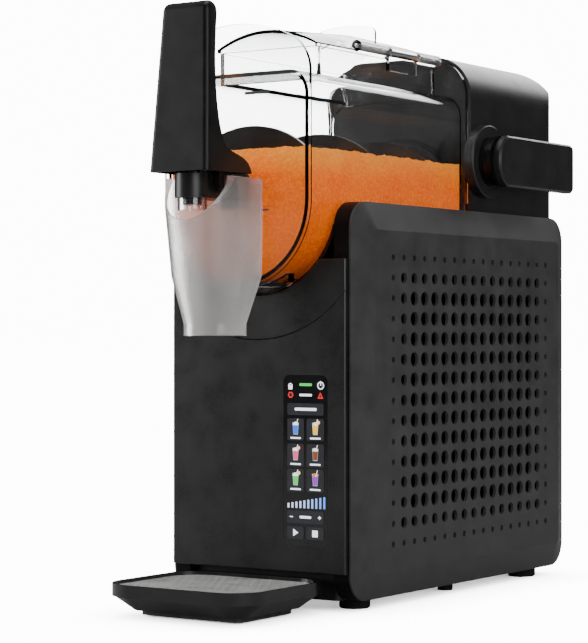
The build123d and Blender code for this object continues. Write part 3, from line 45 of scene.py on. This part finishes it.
# ---------------------------------------------------------------- material building
class Look:
    """A node material with a Principled shader and a few procedural textures in object space."""

    def __init__(self, name, color, roughness, metallic=0.0, specular=0.5, ior=1.5):
        self.material = bpy.data.materials.new(name)
        self.material.use_nodes = True
        self.tree = self.material.node_tree
        self.shader = self.tree.nodes["Principled BSDF"]
        self.color = (*color, 1.0)
        self.roughness = roughness
        self.set("Base Color", self.color)
        self.set("Roughness", roughness)
        self.set("Metallic", metallic)
        self.set("Specular IOR Level", specular)
        self.set("IOR", ior)
        coords = self.node("ShaderNodeTexCoord")
        self.place = coords.outputs["Object"]
        self.height = None

    def node(self, kind, **settings):
        made = self.tree.nodes.new(kind)
        for key, value in settings.items():
            setattr(made, key, value)
        return made

    def link(self, start, end):
        self.tree.links.new(start, end)

    def set(self, socket, value):
        self.shader.inputs[socket].default_value = value

    def stretched(self, x, y, z):
        """Coordinates scaled per axis, for brushed or drawn surfaces."""
        mapping = self.node("ShaderNodeMapping")
        mapping.inputs["Scale"].default_value = (x, y, z)
        self.link(self.place, mapping.inputs["Vector"])
        return mapping.outputs["Vector"]

    def noise(self, scale, detail=3.0, roughness=0.55, place=None):
        made = self.node("ShaderNodeTexNoise")
        made.inputs["Scale"].default_value = scale
        made.inputs["Detail"].default_value = detail
        made.inputs["Roughness"].default_value = roughness
        self.link(place or self.place, made.inputs["Vector"])
        return made.outputs["Fac"]

    def voronoi(self, scale, feature="F1"):
        made = self.node("ShaderNodeTexVoronoi", feature=feature)
        made.inputs["Scale"].default_value = scale
        self.link(self.place, made.inputs["Vector"])
        return made.outputs["Distance"]

    def spread(self, value, low, high, from_low=0.3, from_high=0.7):
        """Maps a texture's middle range onto low..high."""
        made = self.node("ShaderNodeMapRange")
        made.inputs["From Min"].default_value = from_low
        made.inputs["From Max"].default_value = from_high
        made.inputs["To Min"].default_value = low
        made.inputs["To Max"].default_value = high
        self.link(value, made.inputs["Value"])
        return made.outputs["Result"]

    def mix(self, factor, first, second):
        """Mixes two colours, each a tuple or an output, by an output or a number."""
        made = self.node("ShaderNodeMix", data_type="RGBA")
        for socket, value in ((made.inputs[6], first), (made.inputs[7], second)):
            if isinstance(value, tuple):
                socket.default_value = value if len(value) == 4 else (*value, 1.0)
            else:
                self.link(value, socket)
        if isinstance(factor, float):
            made.inputs[0].default_value = factor
        else:
            self.link(factor, made.inputs[0])
        return made.outputs[2]

    def math(self, operation, first, second):
        made = self.node("ShaderNodeMath", operation=operation)
        for index, value in enumerate((first, second)):
            if isinstance(value, (int, float)):
                made.inputs[index].default_value = value
            else:
                self.link(value, made.inputs[index])
        return made.outputs[0]

    def bump(self, value, depth, strength=1.0):
        """Adds a bump of a real depth in metres to the bumps already there."""
        made = self.node("ShaderNodeBump")
        made.inputs["Distance"].default_value = depth
        made.inputs["Strength"].default_value = strength
        self.link(value, made.inputs["Height"])
        if self.height is not None:
            self.link(self.height, made.inputs["Normal"])
        self.height = made.outputs["Normal"]
        self.link(self.height, self.shader.inputs["Normal"])

    def edges(self, radius=0.0009):
        """1 on edges and 0 on flat faces."""
        bevel = self.node("ShaderNodeBevel", samples=4)
        bevel.inputs["Radius"].default_value = radius
        geometry = self.node("ShaderNodeNewGeometry")
        dot = self.node("ShaderNodeVectorMath", operation="DOT_PRODUCT")
        self.link(bevel.outputs["Normal"], dot.inputs[0])
        self.link(geometry.outputs["Normal"], dot.inputs[1])
        return self.spread(dot.outputs["Value"], 1.0, 0.0, 0.75, 0.99)


def plastic(name, color, roughness, grain=0.00002, grain_scale=2600.0, wear_and_highlight=0.5, specular=0.5):
    """Moulded plastic: fine grain, patchy sheen and edges a little paler, partly rubbed wear and partly a
    painted edge highlight.
    """
    look = Look(name, color, roughness, specular=specular)
    patches = look.noise(45.0, 4.0)
    fine = look.noise(grain_scale, 2.0)
    pale = tuple(min(1.0, c * 1.25 + 0.004) for c in color)
    deep = tuple(c * 0.85 for c in color)
    body = look.mix(look.spread(patches, 0.0, 1.0), deep, pale)
    # Paler edges: partly rubbed wear, partly a painted edge highlight.
    wear_and_highlight_color = tuple(min(1.0, c * 1.6 + 0.02) for c in color)
    wear_and_highlight_mask = look.math("MULTIPLY", look.edges(), look.spread(look.noise(260.0), 0.0, wear_and_highlight))
    look.link(look.mix(wear_and_highlight_mask, body, wear_and_highlight_color), look.shader.inputs["Base Color"])
    sheen = look.spread(patches, roughness * 0.9, roughness * 1.1)
    rough = look.math("ADD", sheen, look.spread(fine, -0.03, 0.03))
    look.link(rough, look.shader.inputs["Roughness"])
    look.bump(fine, grain)
    return look


def rubber(name, color):
    """Matt rubber with a coarse grain."""
    return plastic(name, color, 0.75, grain=0.00005, grain_scale=1500.0, wear_and_highlight=0.3, specular=0.3)


def metal(name, color, roughness, direction=(1.0, 1.0, 1.0), depth=0.00001):
    """Metal whose brushed lines run along the axis with the smallest scale."""
    look = Look(name, color, roughness, metallic=1.0)
    lines = look.noise(900.0, 3.0, place=look.stretched(*direction))
    patches = look.noise(30.0, 4.0)
    groove = tuple(c * 0.8 for c in color)
    ridge = tuple(min(1.0, c * 1.1) for c in color)
    shade = look.mix(look.spread(lines, 0.0, 1.0), groove, ridge)
    dark = tuple(c * 0.7 for c in color)
    look.link(look.mix(look.spread(patches, 0.0, 0.25), shade, dark), look.shader.inputs["Base Color"])
    look.link(look.spread(lines, roughness * 0.8, roughness * 1.25), look.shader.inputs["Roughness"])
    look.bump(lines, depth)
    return look


CLEAR_IOR = 1.46
CLEAR_RIPPLE = 0.0001
CLEAR_TINT = (0.55, 0.56, 0.57, 1.0)


def clear(name, color, roughness, shadow=0.85, haze=0.0, absorption=0.0, cloud_color=None):
    """See-through plastic that lets most light past it onto what stands behind."""
    look = Look(name, color, roughness, ior=CLEAR_IOR)
    look.set("Transmission Weight", 1.0)
    look.set("Specular IOR Level", 0.3)
    smudge = look.noise(70.0, 5.0)
    smeared = look.spread(smudge, roughness, roughness * 1.4 + 0.01, 0.45, 0.8)
    look.link(smeared, look.shader.inputs["Roughness"])
    look.bump(look.noise(30.0, 2.0), CLEAR_RIPPLE)
    output = look.tree.nodes["Material Output"]
    rays = look.node("ShaderNodeLightPath")
    through = look.node("ShaderNodeBsdfTransparent")
    through.inputs["Color"].default_value = (shadow, shadow, shadow, 1.0)
    blend = look.node("ShaderNodeMixShader")
    front = look.shader.outputs["BSDF"]
    if haze > 0.0:
        passed = look.node("ShaderNodeBsdfTranslucent")
        passed.inputs["Color"].default_value = (*cloud_color, 1.0)
        returned = look.node("ShaderNodeBsdfDiffuse")
        returned.inputs["Color"].default_value = (*cloud_color, 1.0)
        cloud = look.node("ShaderNodeMixShader")
        cloud.inputs[0].default_value = 0.5
        look.link(passed.outputs[0], cloud.inputs[1])
        look.link(returned.outputs[0], cloud.inputs[2])
        hazy = look.node("ShaderNodeMixShader")
        hazy.inputs[0].default_value = haze
        look.link(front, hazy.inputs[1])
        look.link(cloud.outputs[0], hazy.inputs[2])
        front = hazy.outputs[0]
    if absorption > 0.0:
        depth = look.node("ShaderNodeVolumeAbsorption")
        depth.inputs["Color"].default_value = CLEAR_TINT
        depth.inputs["Density"].default_value = absorption
        look.link(depth.outputs[0], output.inputs["Volume"])
    look.link(rays.outputs["Is Shadow Ray"], blend.inputs[0])
    look.link(front, blend.inputs[1])
    look.link(through.outputs[0], blend.inputs[2])
    look.link(blend.outputs[0], output.inputs["Surface"])
    return look


def glow(name, color, strength):
    """A lit mark on the display."""
    look = Look(name, color, 0.25)
    dots = look.noise(5000.0, 1.0)
    dim = tuple(c * 0.9 for c in color)
    look.link(look.mix(look.spread(dots, 0.0, 1.0), dim, color), look.shader.inputs["Base Color"])
    look.set("Emission Color", (*color, 1.0))
    look.set("Emission Strength", strength)
    return look


def slush():
    """Orange ice grains, paler and frothier towards the surface, with a painted glow that fades lower down
    as painted shade.
    """
    look = Look("orange_slush", (0.9, 0.2, 0.01), 0.42, specular=0.08, ior=1.33)
    split = look.node("ShaderNodeSeparateXYZ")
    look.link(look.place, split.inputs[0])
    grains = look.voronoi(420.0)
    clumps = look.noise(28.0, 5.0)
    fine = look.noise(900.0, 4.0)
    ragged = look.math("ADD", split.outputs["Z"], look.spread(clumps, -0.006, 0.006))
    froth = look.spread(ragged, 0.0, 1.0, *FROTH_HEIGHTS)
    deep = look.mix(look.spread(clumps, 0.0, 1.0), SLUSH_DEEP, SLUSH_BRIGHT)
    speckled = look.mix(look.spread(grains, 0.25, 0.0, 0.0, 0.5), deep, SLUSH_PALE)
    body = look.mix(look.math("MULTIPLY", froth, 0.8), speckled, SLUSH_PALE)
    look.link(body, look.shader.inputs["Base Color"])
    # Painted light: an orange glow, paler in the froth, strongest in the grains and dimmed lower down as
    # painted shade.
    look.link(look.mix(froth, SLUSH_PAINTED_LIGHT, SLUSH_PAINTED_LIGHT_PALE), look.shader.inputs["Emission Color"])
    lit = look.spread(grains, SLUSH_PAINTED_GLOW * 1.3, SLUSH_PAINTED_GLOW * 0.5, 0.0, 0.6)
    painted_shade = look.spread(split.outputs["Z"], 0.3, 1.0, *PAINTED_SHADE_HEIGHTS)
    look.link(look.math("MULTIPLY", lit, painted_shade), look.shader.inputs["Emission Strength"])
    look.link(look.spread(fine, 0.3, 0.55), look.shader.inputs["Roughness"])
    look.bump(fine, 0.0006)
    look.bump(grains, 0.0009)
    return look


def printed(name, color, roughness=0.5):
    """A printed line."""
    return plastic(name, color, roughness, grain=0.000002, wear_and_highlight=0.0, specular=0.2)


SLUSH_DEEP = (0.9, 0.11, 0.0)
SLUSH_BRIGHT = (1.0, 0.2, 0.0)
SLUSH_PALE = (1.0, 0.38, 0.04)
# Painted light: the colours and strength of the slush's glow.
SLUSH_PAINTED_LIGHT = (1.0, 0.16, 0.0)
SLUSH_PAINTED_LIGHT_PALE = (1.0, 0.3, 0.02)
SLUSH_PAINTED_GLOW = 0.75
FROTH_HEIGHTS = (0.312, 0.338)  # metres above the floor, from smooth to frothy
PAINTED_SHADE_HEIGHTS = (0.243, 0.3)  # metres above the floor, from painted shade to full painted glow

LOOKS = {
    "frame_black": plastic("frame_black", (0.002, 0.002, 0.0021), 0.5, specular=0.1),
    "panel_grey": plastic(
        "panel_grey", (0.04, 0.0395, 0.04), 0.5, grain=0.00003, grain_scale=2200.0, specular=0.35
    ),
    "fascia_black": plastic("fascia_black", (0.008, 0.008, 0.008), 0.3, grain=0.00001, specular=0.4),
    "display_glass": plastic("display_glass", (0.004, 0.004, 0.005), 0.08, grain=0.000001, wear_and_highlight=0.1),
    "circuit_board": plastic("circuit_board", (0.012, 0.1, 0.03), 0.4, wear_and_highlight=0.2),
    "cradle_black": plastic("cradle_black", (0.001, 0.001, 0.001), 0.1, grain=0.000002, specular=0.3),
    "base_black": plastic("base_black", (0.01, 0.01, 0.0105), 0.5, specular=0.3),
    "foot_rubber": rubber("foot_rubber", (0.008, 0.008, 0.008)),
    "screen_black": plastic(
        "screen_black", (0.0015, 0.0015, 0.0015), 0.9, grain=0.00005, grain_scale=1200.0, specular=0.0
    ),
    "screw_steel": metal("screw_steel", (0.55, 0.55, 0.56), 0.3),
    "inlet_black": plastic("inlet_black", (0.008, 0.008, 0.008), 0.45, specular=0.3),
    "head_black": plastic(
        "head_black", (0.010, 0.010, 0.0103), 0.34, grain=0.00002, grain_scale=2200.0, specular=0.4
    ),
    "drum_steel": metal("drum_steel", (0.62, 0.62, 0.63), 0.28, direction=(1.0, 0.05, 1.0)),
    "copper_tube": metal("copper_tube", (0.8, 0.42, 0.26), 0.3),
    "seal_rubber": rubber("seal_rubber", (0.006, 0.006, 0.006)),
    "bush_white": plastic("bush_white", (0.75, 0.74, 0.7), 0.45),
    "auger_grey": plastic("auger_grey", (0.012, 0.011, 0.011), 0.3, grain=0.00001, specular=0.45),
    "gear_white": plastic("gear_white", (0.72, 0.7, 0.64), 0.42),
    "zinc_plate": metal("zinc_plate", (0.6, 0.61, 0.62), 0.38),
    "motor_can": metal("motor_can", (0.4, 0.41, 0.42), 0.4, direction=(1.0, 0.1, 1.0)),
    "compressor_black": plastic(
        "compressor_black", (0.006, 0.006, 0.006), 0.22, grain=0.00004, grain_scale=500.0
    ),
    "condenser_aluminium": metal("condenser_aluminium", (0.72, 0.73, 0.74), 0.35, direction=(1.0, 1.0, 0.1)),
    "fan_black": plastic("fan_black", (0.008, 0.008, 0.008), 0.5),
    "clear_plastic": clear("clear_plastic", (0.985, 0.99, 0.99), 0.004, absorption=45.0, shadow=0.93),
    "clear_nozzle": clear("clear_nozzle", (0.97, 0.98, 0.985), 0.02, absorption=30.0),
    "tap_black": plastic("tap_black", (0.006, 0.006, 0.0062), 0.35, specular=0.4),
    "spring_steel": metal("spring_steel", (0.6, 0.6, 0.61), 0.2),
    "handle_black": plastic(
        "handle_black", (0.004, 0.004, 0.0041), 0.4, grain=0.00003, grain_scale=2400.0, specular=0.22
    ),
    "frosted_plastic": clear(
        "frosted_plastic", (0.74, 0.73, 0.725), 0.19, haze=0.2, shadow=0.75, cloud_color=(0.5, 0.49, 0.48)
    ),
    "lever_grey": plastic("lever_grey", (0.010, 0.010, 0.0103), 0.42, specular=0.35),
    "hub_black": plastic("hub_black", (0.001, 0.001, 0.001), 0.2, grain=0.000004, specular=0.2),
    "tray_black": plastic("tray_black", (0.006, 0.006, 0.006), 0.2, grain=0.000006),
    "pad_grey": plastic("pad_grey", (0.03, 0.03, 0.031), 0.5),
    "grate_metal": plastic("grate_metal", (0.45, 0.45, 0.44), 0.3, specular=0.8),
}


for node_name, node_object in NODES.items():
    node_object.data.materials.clear()
    node_object.data.materials.append(LOOKS[SLOT_OF[node_name]].material)


# ---------------------------------------------------------------- added pieces
FRONT = -119.0  # the front panel's face, in millimetres


def place(x, y, z):
    """Metres from millimetres given from the front panel's face."""
    return Vector((x, FRONT + y, z)) * MM


def new_piece(name, mesh, body, looks):
    """Adds a mesh to the scene as a piece that rides on a body."""
    piece = bpy.data.objects.new(name, mesh)
    bpy.context.scene.collection.objects.link(piece)
    for look in looks:
        mesh.materials.append(look.material)
    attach(piece, body)
    return piece


AXIS_Z = 298.0
SLUSH_RADIUS = 58.8
SLUSH_LEVEL = 334.5
SLUSH_FRONT = -23.3
SLUSH_REAR = 193.2
MOUND_HEIGHT = 4.2
MOUND_HALF_WIDTH = 26.0
MOUND_START = 4.0
MOUND_RUN = 30.0
LUMP_HEIGHT = 1.5
LUMP_SCALE = 0.09
CRUMB_HEIGHT = 0.9
CRUMB_SCALE = 0.34
LENGTH_STEPS = 150
ARC_STEPS = 48
TOP_STEPS = 60
DRUM_SPACE_RADIUS = 38.3
DRUM_SPACE_LENGTH = 200.0
DRUM_SPACE_MIDDLE = 123.7


def slush_surface(x, y):
    """Height of the slush: a low mound over the drum with a ragged top."""
    rise = min(1.0, max(0.0, (y - MOUND_START) / MOUND_RUN))
    mound = MOUND_HEIGHT * math.exp(-((x / MOUND_HALF_WIDTH) ** 2)) * rise
    lumps = noise.noise(Vector((x * LUMP_SCALE, y * LUMP_SCALE, 3.1))) * LUMP_HEIGHT
    crumbs = noise.noise(Vector((x * CRUMB_SCALE, y * CRUMB_SCALE, 7.7))) * CRUMB_HEIGHT
    return SLUSH_LEVEL + mound + lumps + crumbs


def slush_ring(y):
    """Points of one cross-section: the round bottom, then back across the top."""
    points = []
    for step in range(ARC_STEPS + 1):
        angle = math.pi + math.pi * step / ARC_STEPS
        points.append(place(SLUSH_RADIUS * math.cos(angle), y, AXIS_Z + SLUSH_RADIUS * math.sin(angle)))
    for step in range(TOP_STEPS + 1):
        x = SLUSH_RADIUS * (1.0 - 2.0 * step / TOP_STEPS)
        points.append(place(x, y, slush_surface(x, y)))
    return points


def add_slush():
    """Fills the vessel to its level, with a hollow where the chilled drum stands."""
    mesh = bpy.data.meshes.new("orange_slush")
    made = bmesh.new()
    rings = []
    for index in range(LENGTH_STEPS + 1):
        y = SLUSH_FRONT + (SLUSH_REAR - SLUSH_FRONT) * index / LENGTH_STEPS
        rings.append([made.verts.new(point) for point in slush_ring(y)])
    count = len(rings[0])
    for near, far in zip(rings, rings[1:]):
        for step in range(count):
            following = (step + 1) % count
            made.faces.new((near[step], far[step], far[following], near[following]))
    made.faces.new(rings[0])
    made.faces.new(list(reversed(rings[-1])))
    bmesh.ops.recalc_face_normals(made, faces=made.faces)
    made.to_mesh(mesh)
    made.free()
    piece = new_piece("orange_slush", mesh, "vessel", [slush()])
    bpy.ops.mesh.primitive_cylinder_add(
        vertices=96,
        radius=DRUM_SPACE_RADIUS * MM,
        depth=DRUM_SPACE_LENGTH * MM,
        location=place(0, DRUM_SPACE_MIDDLE, AXIS_Z),
        rotation=(math.pi / 2, 0, 0),
    )
    cutter = bpy.context.object
    hollow = piece.modifiers.new("drum_space", "BOOLEAN")
    hollow.object = cutter
    hollow.operation = "DIFFERENCE"
    hollow.solver = "EXACT"
    bpy.context.view_layer.objects.active = piece
    bpy.ops.object.modifier_apply(modifier="drum_space")
    bpy.data.objects.remove(cutter)
    for face in piece.data.polygons:
        face.use_smooth = face.normal.z > 0.5
    return piece


LAYER_STEP = 0.004


class Print:
    """Flat artwork facing the front, in thin layers; positions are X and Z in millimetres."""

    def __init__(self, y):
        self.made = bmesh.new()
        self.y = y
        self.layer = 0
        self.looks = []

    def ink(self, look):
        if look not in self.looks:
            self.looks.append(look)
        return self.looks.index(look)

    def shape(self, points, look):
        self.layer += 1
        y = self.y - LAYER_STEP * self.layer
        corners = [self.made.verts.new(place(x, y, z)) for x, z in points]
        face = self.made.faces.new(corners)
        face.normal_update()
        if face.normal.y > 0:
            face.normal_flip()
        face.material_index = self.ink(look)

    def tile(self, left, right, low, high, look, corner=1.0):
        """A rectangle with rounded corners."""
        corners = (
            (right - corner, high - corner, 0),
            (left + corner, high - corner, 90),
            (left + corner, low + corner, 180),
            (right - corner, low + corner, 270),
        )
        points = []
        for cx, cz, start in corners:
            for step in range(7):
                angle = math.radians(start + 15 * step)
                points.append((cx + corner * math.cos(angle), cz + corner * math.sin(angle)))
        self.shape(points, look)

    def disc(self, x, z, radius, look, sides=28):
        points = []
        for k in range(sides):
            angle = 2 * math.pi * k / sides
            points.append((x + radius * math.cos(angle), z + radius * math.sin(angle)))
        self.shape(points, look)

    def half_disc(self, x, z, radius, look):
        """The upper half of a disc."""
        points = [(x, z)]
        for step in range(13):
            angle = math.radians(180 * step / 12)
            points.append((x + radius * math.cos(angle), z + radius * math.sin(angle)))
        self.shape(points, look)

    def finish(self, name, body):
        mesh = bpy.data.meshes.new(name)
        self.made.to_mesh(mesh)
        self.made.free()
        return new_piece(name, mesh, body, self.looks)


def glass_icon(art, x, z, drink, topping, slice_look):
    """A tall glass with a drink, foam and a fruit slice."""
    cup = [(x - 2.7, z + 4.2), (x + 2.7, z + 4.2), (x + 1.9, z - 4.6), (x - 1.9, z - 4.6)]
    filling = [(x - 2.4, z + 2.4), (x + 2.4, z + 2.4), (x + 1.7, z - 4.2), (x - 1.7, z - 4.2)]
    straw = [(x + 0.2, z + 2), (x + 0.7, z + 2), (x + 2.2, z + 6.6), (x + 1.7, z + 6.8)]
    art.shape(cup, INK["glass"])
    art.shape(filling, drink)
    art.half_disc(x, z + 2.2, 2.4, topping)
    if slice_look:
        art.disc(x + 2.7, z + 4.4, 1.5, slice_look)
        art.disc(x + 2.7, z + 4.4, 1.0, INK["cream"])
    art.shape(straw, INK["white"])


LEFT_COLUMN = (27.1, 41.6)
RIGHT_COLUMN = (43.9, 58.9)
DRINK_ROWS = ((124.0, 140.0), (105.1, 121.7), (87.0, 103.5))
DRINKS = (
    (("blue", "white", None), ("yellow", "cream", "orange")),
    (("pink", "white", "red"), ("brown", "cream", None)),
    (("green", "white", "yellow"), ("purple", "orange", None)),
)
TILE_CORNER = 1.4
BAR_COUNT = 10
BAR_PITCH = 3.45
BAR_RISE = 0.59


def status_icons(art):
    """Lock, status bars, power ring, hexagon and warning triangle."""
    art.disc(29.75, 163.6, 1.9, INK["white"])
    art.disc(29.75, 163.6, 1.2, INK["tile"])
    art.tile(28.0, 31.5, 160.9, 164.0, INK["white"], 0.5)
    art.tile(37.5, 48.5, 163.5, 165.5, INK["green"], 0.9)
    art.disc(56.0, 164.0, 2.9, INK["white"])
    art.disc(56.0, 164.0, 2.1, INK["tile"])
    art.tile(55.6, 56.4, 163.8, 167.2, INK["white"], 0.3)
    art.disc(30.0, 157.0, 2.5, INK["red"], sides=6)
    art.disc(30.0, 157.0, 1.6, INK["tile"], sides=6)
    art.tile(37.5, 48.5, 156.2, 157.8, INK["white"], 0.7)
    art.shape([(53.2, 154.6), (58.4, 154.6), (55.8, 159.2)], INK["red"])
    art.shape([(54.5, 155.4), (57.1, 155.4), (55.8, 157.7)], INK["tile"])


def drink_tiles(art):
    """Six tiles, each with a drink over a bar."""
    for (low, high), pair in zip(DRINK_ROWS, DRINKS):
        for (left, right), (drink, topping, fruit) in zip((LEFT_COLUMN, RIGHT_COLUMN), pair):
            middle = (left + right) / 2
            centre = (low + high) / 2 + 0.9
            art.tile(left, right, low, high, INK["tile"], TILE_CORNER)
            art.tile(middle - 4.6, middle + 4.6, low + 1.2, low + 2.4, INK["white"], 0.5)
            glass_icon(art, middle, centre, INK[drink], INK[topping], INK[fruit] if fruit else None)


def thickness_control(art):
    """Ten rising bars over a tile with a minus sign, a bar and a plus sign."""
    for bar in range(BAR_COUNT):
        left = 27.4 + BAR_PITCH * bar
        art.tile(left, left + 1.7, 75.2, 78.5 + BAR_RISE * bar, BARS[bar], 0.3)
    art.tile(27.1, 58.9, 64.1, 73.3, INK["tile"], TILE_CORNER)
    art.tile(29.4, 32.2, 68.3, 69.1, INK["white"], 0.3)
    art.tile(38.0, 48.0, 67.8, 69.6, INK["white"], 0.8)
    art.tile(53.8, 56.6, 68.3, 69.1, INK["white"], 0.3)
    art.tile(54.8, 55.6, 67.3, 70.1, INK["white"], 0.3)


def play_and_stop(art):
    low, high = 52.7, 61.8
    art.tile(*LEFT_COLUMN, low, high, INK["tile"], TILE_CORNER)
    art.shape([(32.4, 54.6), (36.8, 57.3), (32.4, 60.0)], INK["white"])
    art.tile(*RIGHT_COLUMN, low, high, INK["tile"], TILE_CORNER)
    art.tile(48.9, 53.7, 54.7, 59.5, INK["white"], 0.4)


def add_display():
    """Lit marks on the display glass, from the top down."""
    art = Print(-0.02)
    status_icons(art)
    art.tile(27.1, 58.6, 142.4, 151.0, INK["tile"], TILE_CORNER)
    art.tile(33.5, 52.5, 145.7, 147.7, INK["white"], 0.9)
    drink_tiles(art)
    thickness_control(art)
    play_and_stop(art)
    art.finish("display_marks", "base")


PLATE_PRINT_FACE = -27.01
LEVEL_LINES = (
    ("upper_level_line", 8.0, 30.0, 374.8, 1.1),
    ("lower_level_line", 8.4, 29.5, 290.3, 0.6),
)


def add_level_lines():
    """The two fill marks on the vessel's front plate."""
    for name, left, right, z, half in LEVEL_LINES:
        art = Print(PLATE_PRINT_FACE)
        art.tile(left, right, z - half, z + half, INK["line"], 0.4)
        art.finish(name, "vessel")


INK = {
    "tile": glow("ink_tile", (0.022, 0.023, 0.027), 0.25),
    "white": glow("ink_white", (0.85, 0.88, 0.92), 1.4),
    "cream": glow("ink_cream", (0.95, 0.85, 0.65), 0.9),
    "glass": glow("ink_glass", (0.45, 0.55, 0.65), 0.5),
    "green": glow("ink_green", (0.05, 0.6, 0.08), 1.0),
    "red": glow("ink_red", (0.8, 0.01, 0.01), 1.0),
    "blue": glow("ink_blue", (0.005, 0.16, 0.9), 0.9),
    "yellow": glow("ink_yellow", (0.95, 0.55, 0.0), 0.9),
    "orange": glow("ink_orange", (0.95, 0.2, 0.0), 0.8),
    "pink": glow("ink_pink", (0.85, 0.1, 0.2), 0.8),
    "brown": glow("ink_brown", (0.2, 0.06, 0.02), 0.8),
    "purple": glow("ink_purple", (0.3, 0.03, 0.55), 0.8),
    "line": printed("ink_line", (0.05, 0.05, 0.055)),
}
BARS = [
    glow(f"ink_bar_{k}", (0.75 - 0.07 * k, 0.82 - 0.055 * k, 0.95), 0.9) for k in range(BAR_COUNT)
]

add_slush()
add_display()
add_level_lines()


# ---------------------------------------------------------------- studio
SEEN_WHITE = 13.0  # radiance of the backdrop where it is looked at
HORIZON_LIGHT = 0.3
ZENITH_LIGHT = 0.2
ZENITH_START = 0.7
MIRRORED_LIGHT = 0.09  # what shiny surfaces reflect between the lamps
CONTACT_SHADE_REACH = 0.05
CONTACT_SHADE_POWER = 0.7
LAMP_AIM = (0, 0, 0.22)
CAMERA_PLACE = (0.9219, -1.4411, 0.2036)
CAMERA_TILT = 0.00413678
CAMERA_TURN = 0.5919815
CAMERA_LENS = 122.96


def studio_world():
    """White to look at, and a dimmer soft light for what it falls on."""
    world = bpy.data.worlds.new("studio")
    bpy.context.scene.world = world
    world.use_nodes = True
    tree = world.node_tree

    def math_node(operation, first, second):
        made = tree.nodes.new("ShaderNodeMath")
        made.operation = operation
        tree.links.new(first, made.inputs[0])
        if isinstance(second, float):
            made.inputs[1].default_value = second
        else:
            tree.links.new(second, made.inputs[1])
        return made.outputs[0]

    def blend(factor, usual, special):
        made = tree.nodes.new("ShaderNodeMix")
        made.inputs[3].default_value = special
        tree.links.new(factor, made.inputs[0])
        tree.links.new(usual, made.inputs[2])
        return made.outputs[0]

    background = tree.nodes["Background"]
    background.inputs["Color"].default_value = (1.0, 1.0, 1.0, 1.0)
    coords = tree.nodes.new("ShaderNodeTexCoord")
    split = tree.nodes.new("ShaderNodeSeparateXYZ")
    tree.links.new(coords.outputs["Generated"], split.inputs[0])
    lit = tree.nodes.new("ShaderNodeMapRange")
    lit.inputs["From Min"].default_value = 0.0
    lit.inputs["From Max"].default_value = ZENITH_START
    lit.inputs["To Min"].default_value = HORIZON_LIGHT
    lit.inputs["To Max"].default_value = ZENITH_LIGHT
    tree.links.new(split.outputs["Z"], lit.inputs["Value"])
    rays = tree.nodes.new("ShaderNodeLightPath")
    turns = math_node("ADD", rays.outputs["Glossy Depth"], rays.outputs["Diffuse Depth"])
    straight = math_node("LESS_THAN", turns, 0.5)
    passed = math_node("MULTIPLY", rays.outputs["Is Transmission Ray"], straight)
    seen = math_node("MAXIMUM", rays.outputs["Is Camera Ray"], passed)
    mirrored = blend(rays.outputs["Is Glossy Ray"], lit.outputs["Result"], MIRRORED_LIGHT)
    tree.links.new(blend(seen, mirrored, SEEN_WHITE), background.inputs["Strength"])


def studio_floor():
    """Pale floor, as white as the backdrop away from the machine's contact shadow."""
    bpy.ops.mesh.primitive_plane_add(size=30.0, location=(0, 0, 0))
    floor = bpy.context.object
    floor.name = "studio_floor"
    look = Look("studio_floor", (0.45, 0.45, 0.45), 0.9, specular=0.0)
    mottle = look.noise(3.0, 4.0)
    tint = look.mix(look.spread(mottle, 0.0, 1.0), (0.43, 0.43, 0.43), (0.47, 0.47, 0.47))
    look.link(tint, look.shader.inputs["Base Color"])
    look.bump(look.noise(600.0, 3.0), 0.00002)
    shade = look.node("ShaderNodeAmbientOcclusion", samples=12)
    shade.inputs["Distance"].default_value = CONTACT_SHADE_REACH
    open_sky = look.math("POWER", shade.outputs["AO"], CONTACT_SHADE_POWER)
    rays = look.node("ShaderNodeLightPath")
    turns = look.math("ADD", rays.outputs["Glossy Depth"], rays.outputs["Diffuse Depth"])
    straight = look.math("LESS_THAN", turns, 0.5)
    passed = look.math("MULTIPLY", rays.outputs["Is Transmission Ray"], straight)
    seen = look.math("MAXIMUM", rays.outputs["Is Camera Ray"], passed)
    look.set("Emission Color", (1.0, 1.0, 1.0, 1.0))
    white = look.math("MULTIPLY", open_sky, SEEN_WHITE)
    look.link(look.math("MULTIPLY", seen, white), look.shader.inputs["Emission Strength"])
    floor.data.materials.append(look.material)


LAMPS = (
    ("key_light", (-1.85, -1.1, 0.7), 1.0, 1.3, 33.0),
    ("top_light", (0.0, -0.2, 1.8), 1.2, 1.2, 22.0),
    ("fill_light", (1.7, -1.1, 0.7), 1.2, 1.2, 21.0),
    ("rim_light", (-0.3, 1.7, 1.3), 1.6, 0.8, 22.0),
)


def studio_lamps():
    for name, spot, width, height, power in LAMPS:
        data = bpy.data.lights.new(name, "AREA")
        data.shape = "RECTANGLE"
        data.size = width
        data.size_y = height
        data.energy = power
        lamp = bpy.data.objects.new(name, data)
        lamp.location = spot
        aim = Vector(LAMP_AIM) - Vector(spot)
        lamp.rotation_euler = aim.to_track_quat("-Z", "Y").to_euler()
        bpy.context.scene.collection.objects.link(lamp)


def main_camera():
    data = bpy.data.cameras.new("main_camera")
    data.sensor_width = 36.0
    data.lens = CAMERA_LENS
    camera = bpy.data.objects.new("main_camera", data)
    camera.location = CAMERA_PLACE
    camera.rotation_euler = (math.pi / 2 + CAMERA_TILT, 0.0, CAMERA_TURN)
    bpy.context.scene.collection.objects.link(camera)
    bpy.context.scene.camera = camera


studio_world()
studio_floor()
studio_lamps()
main_camera()
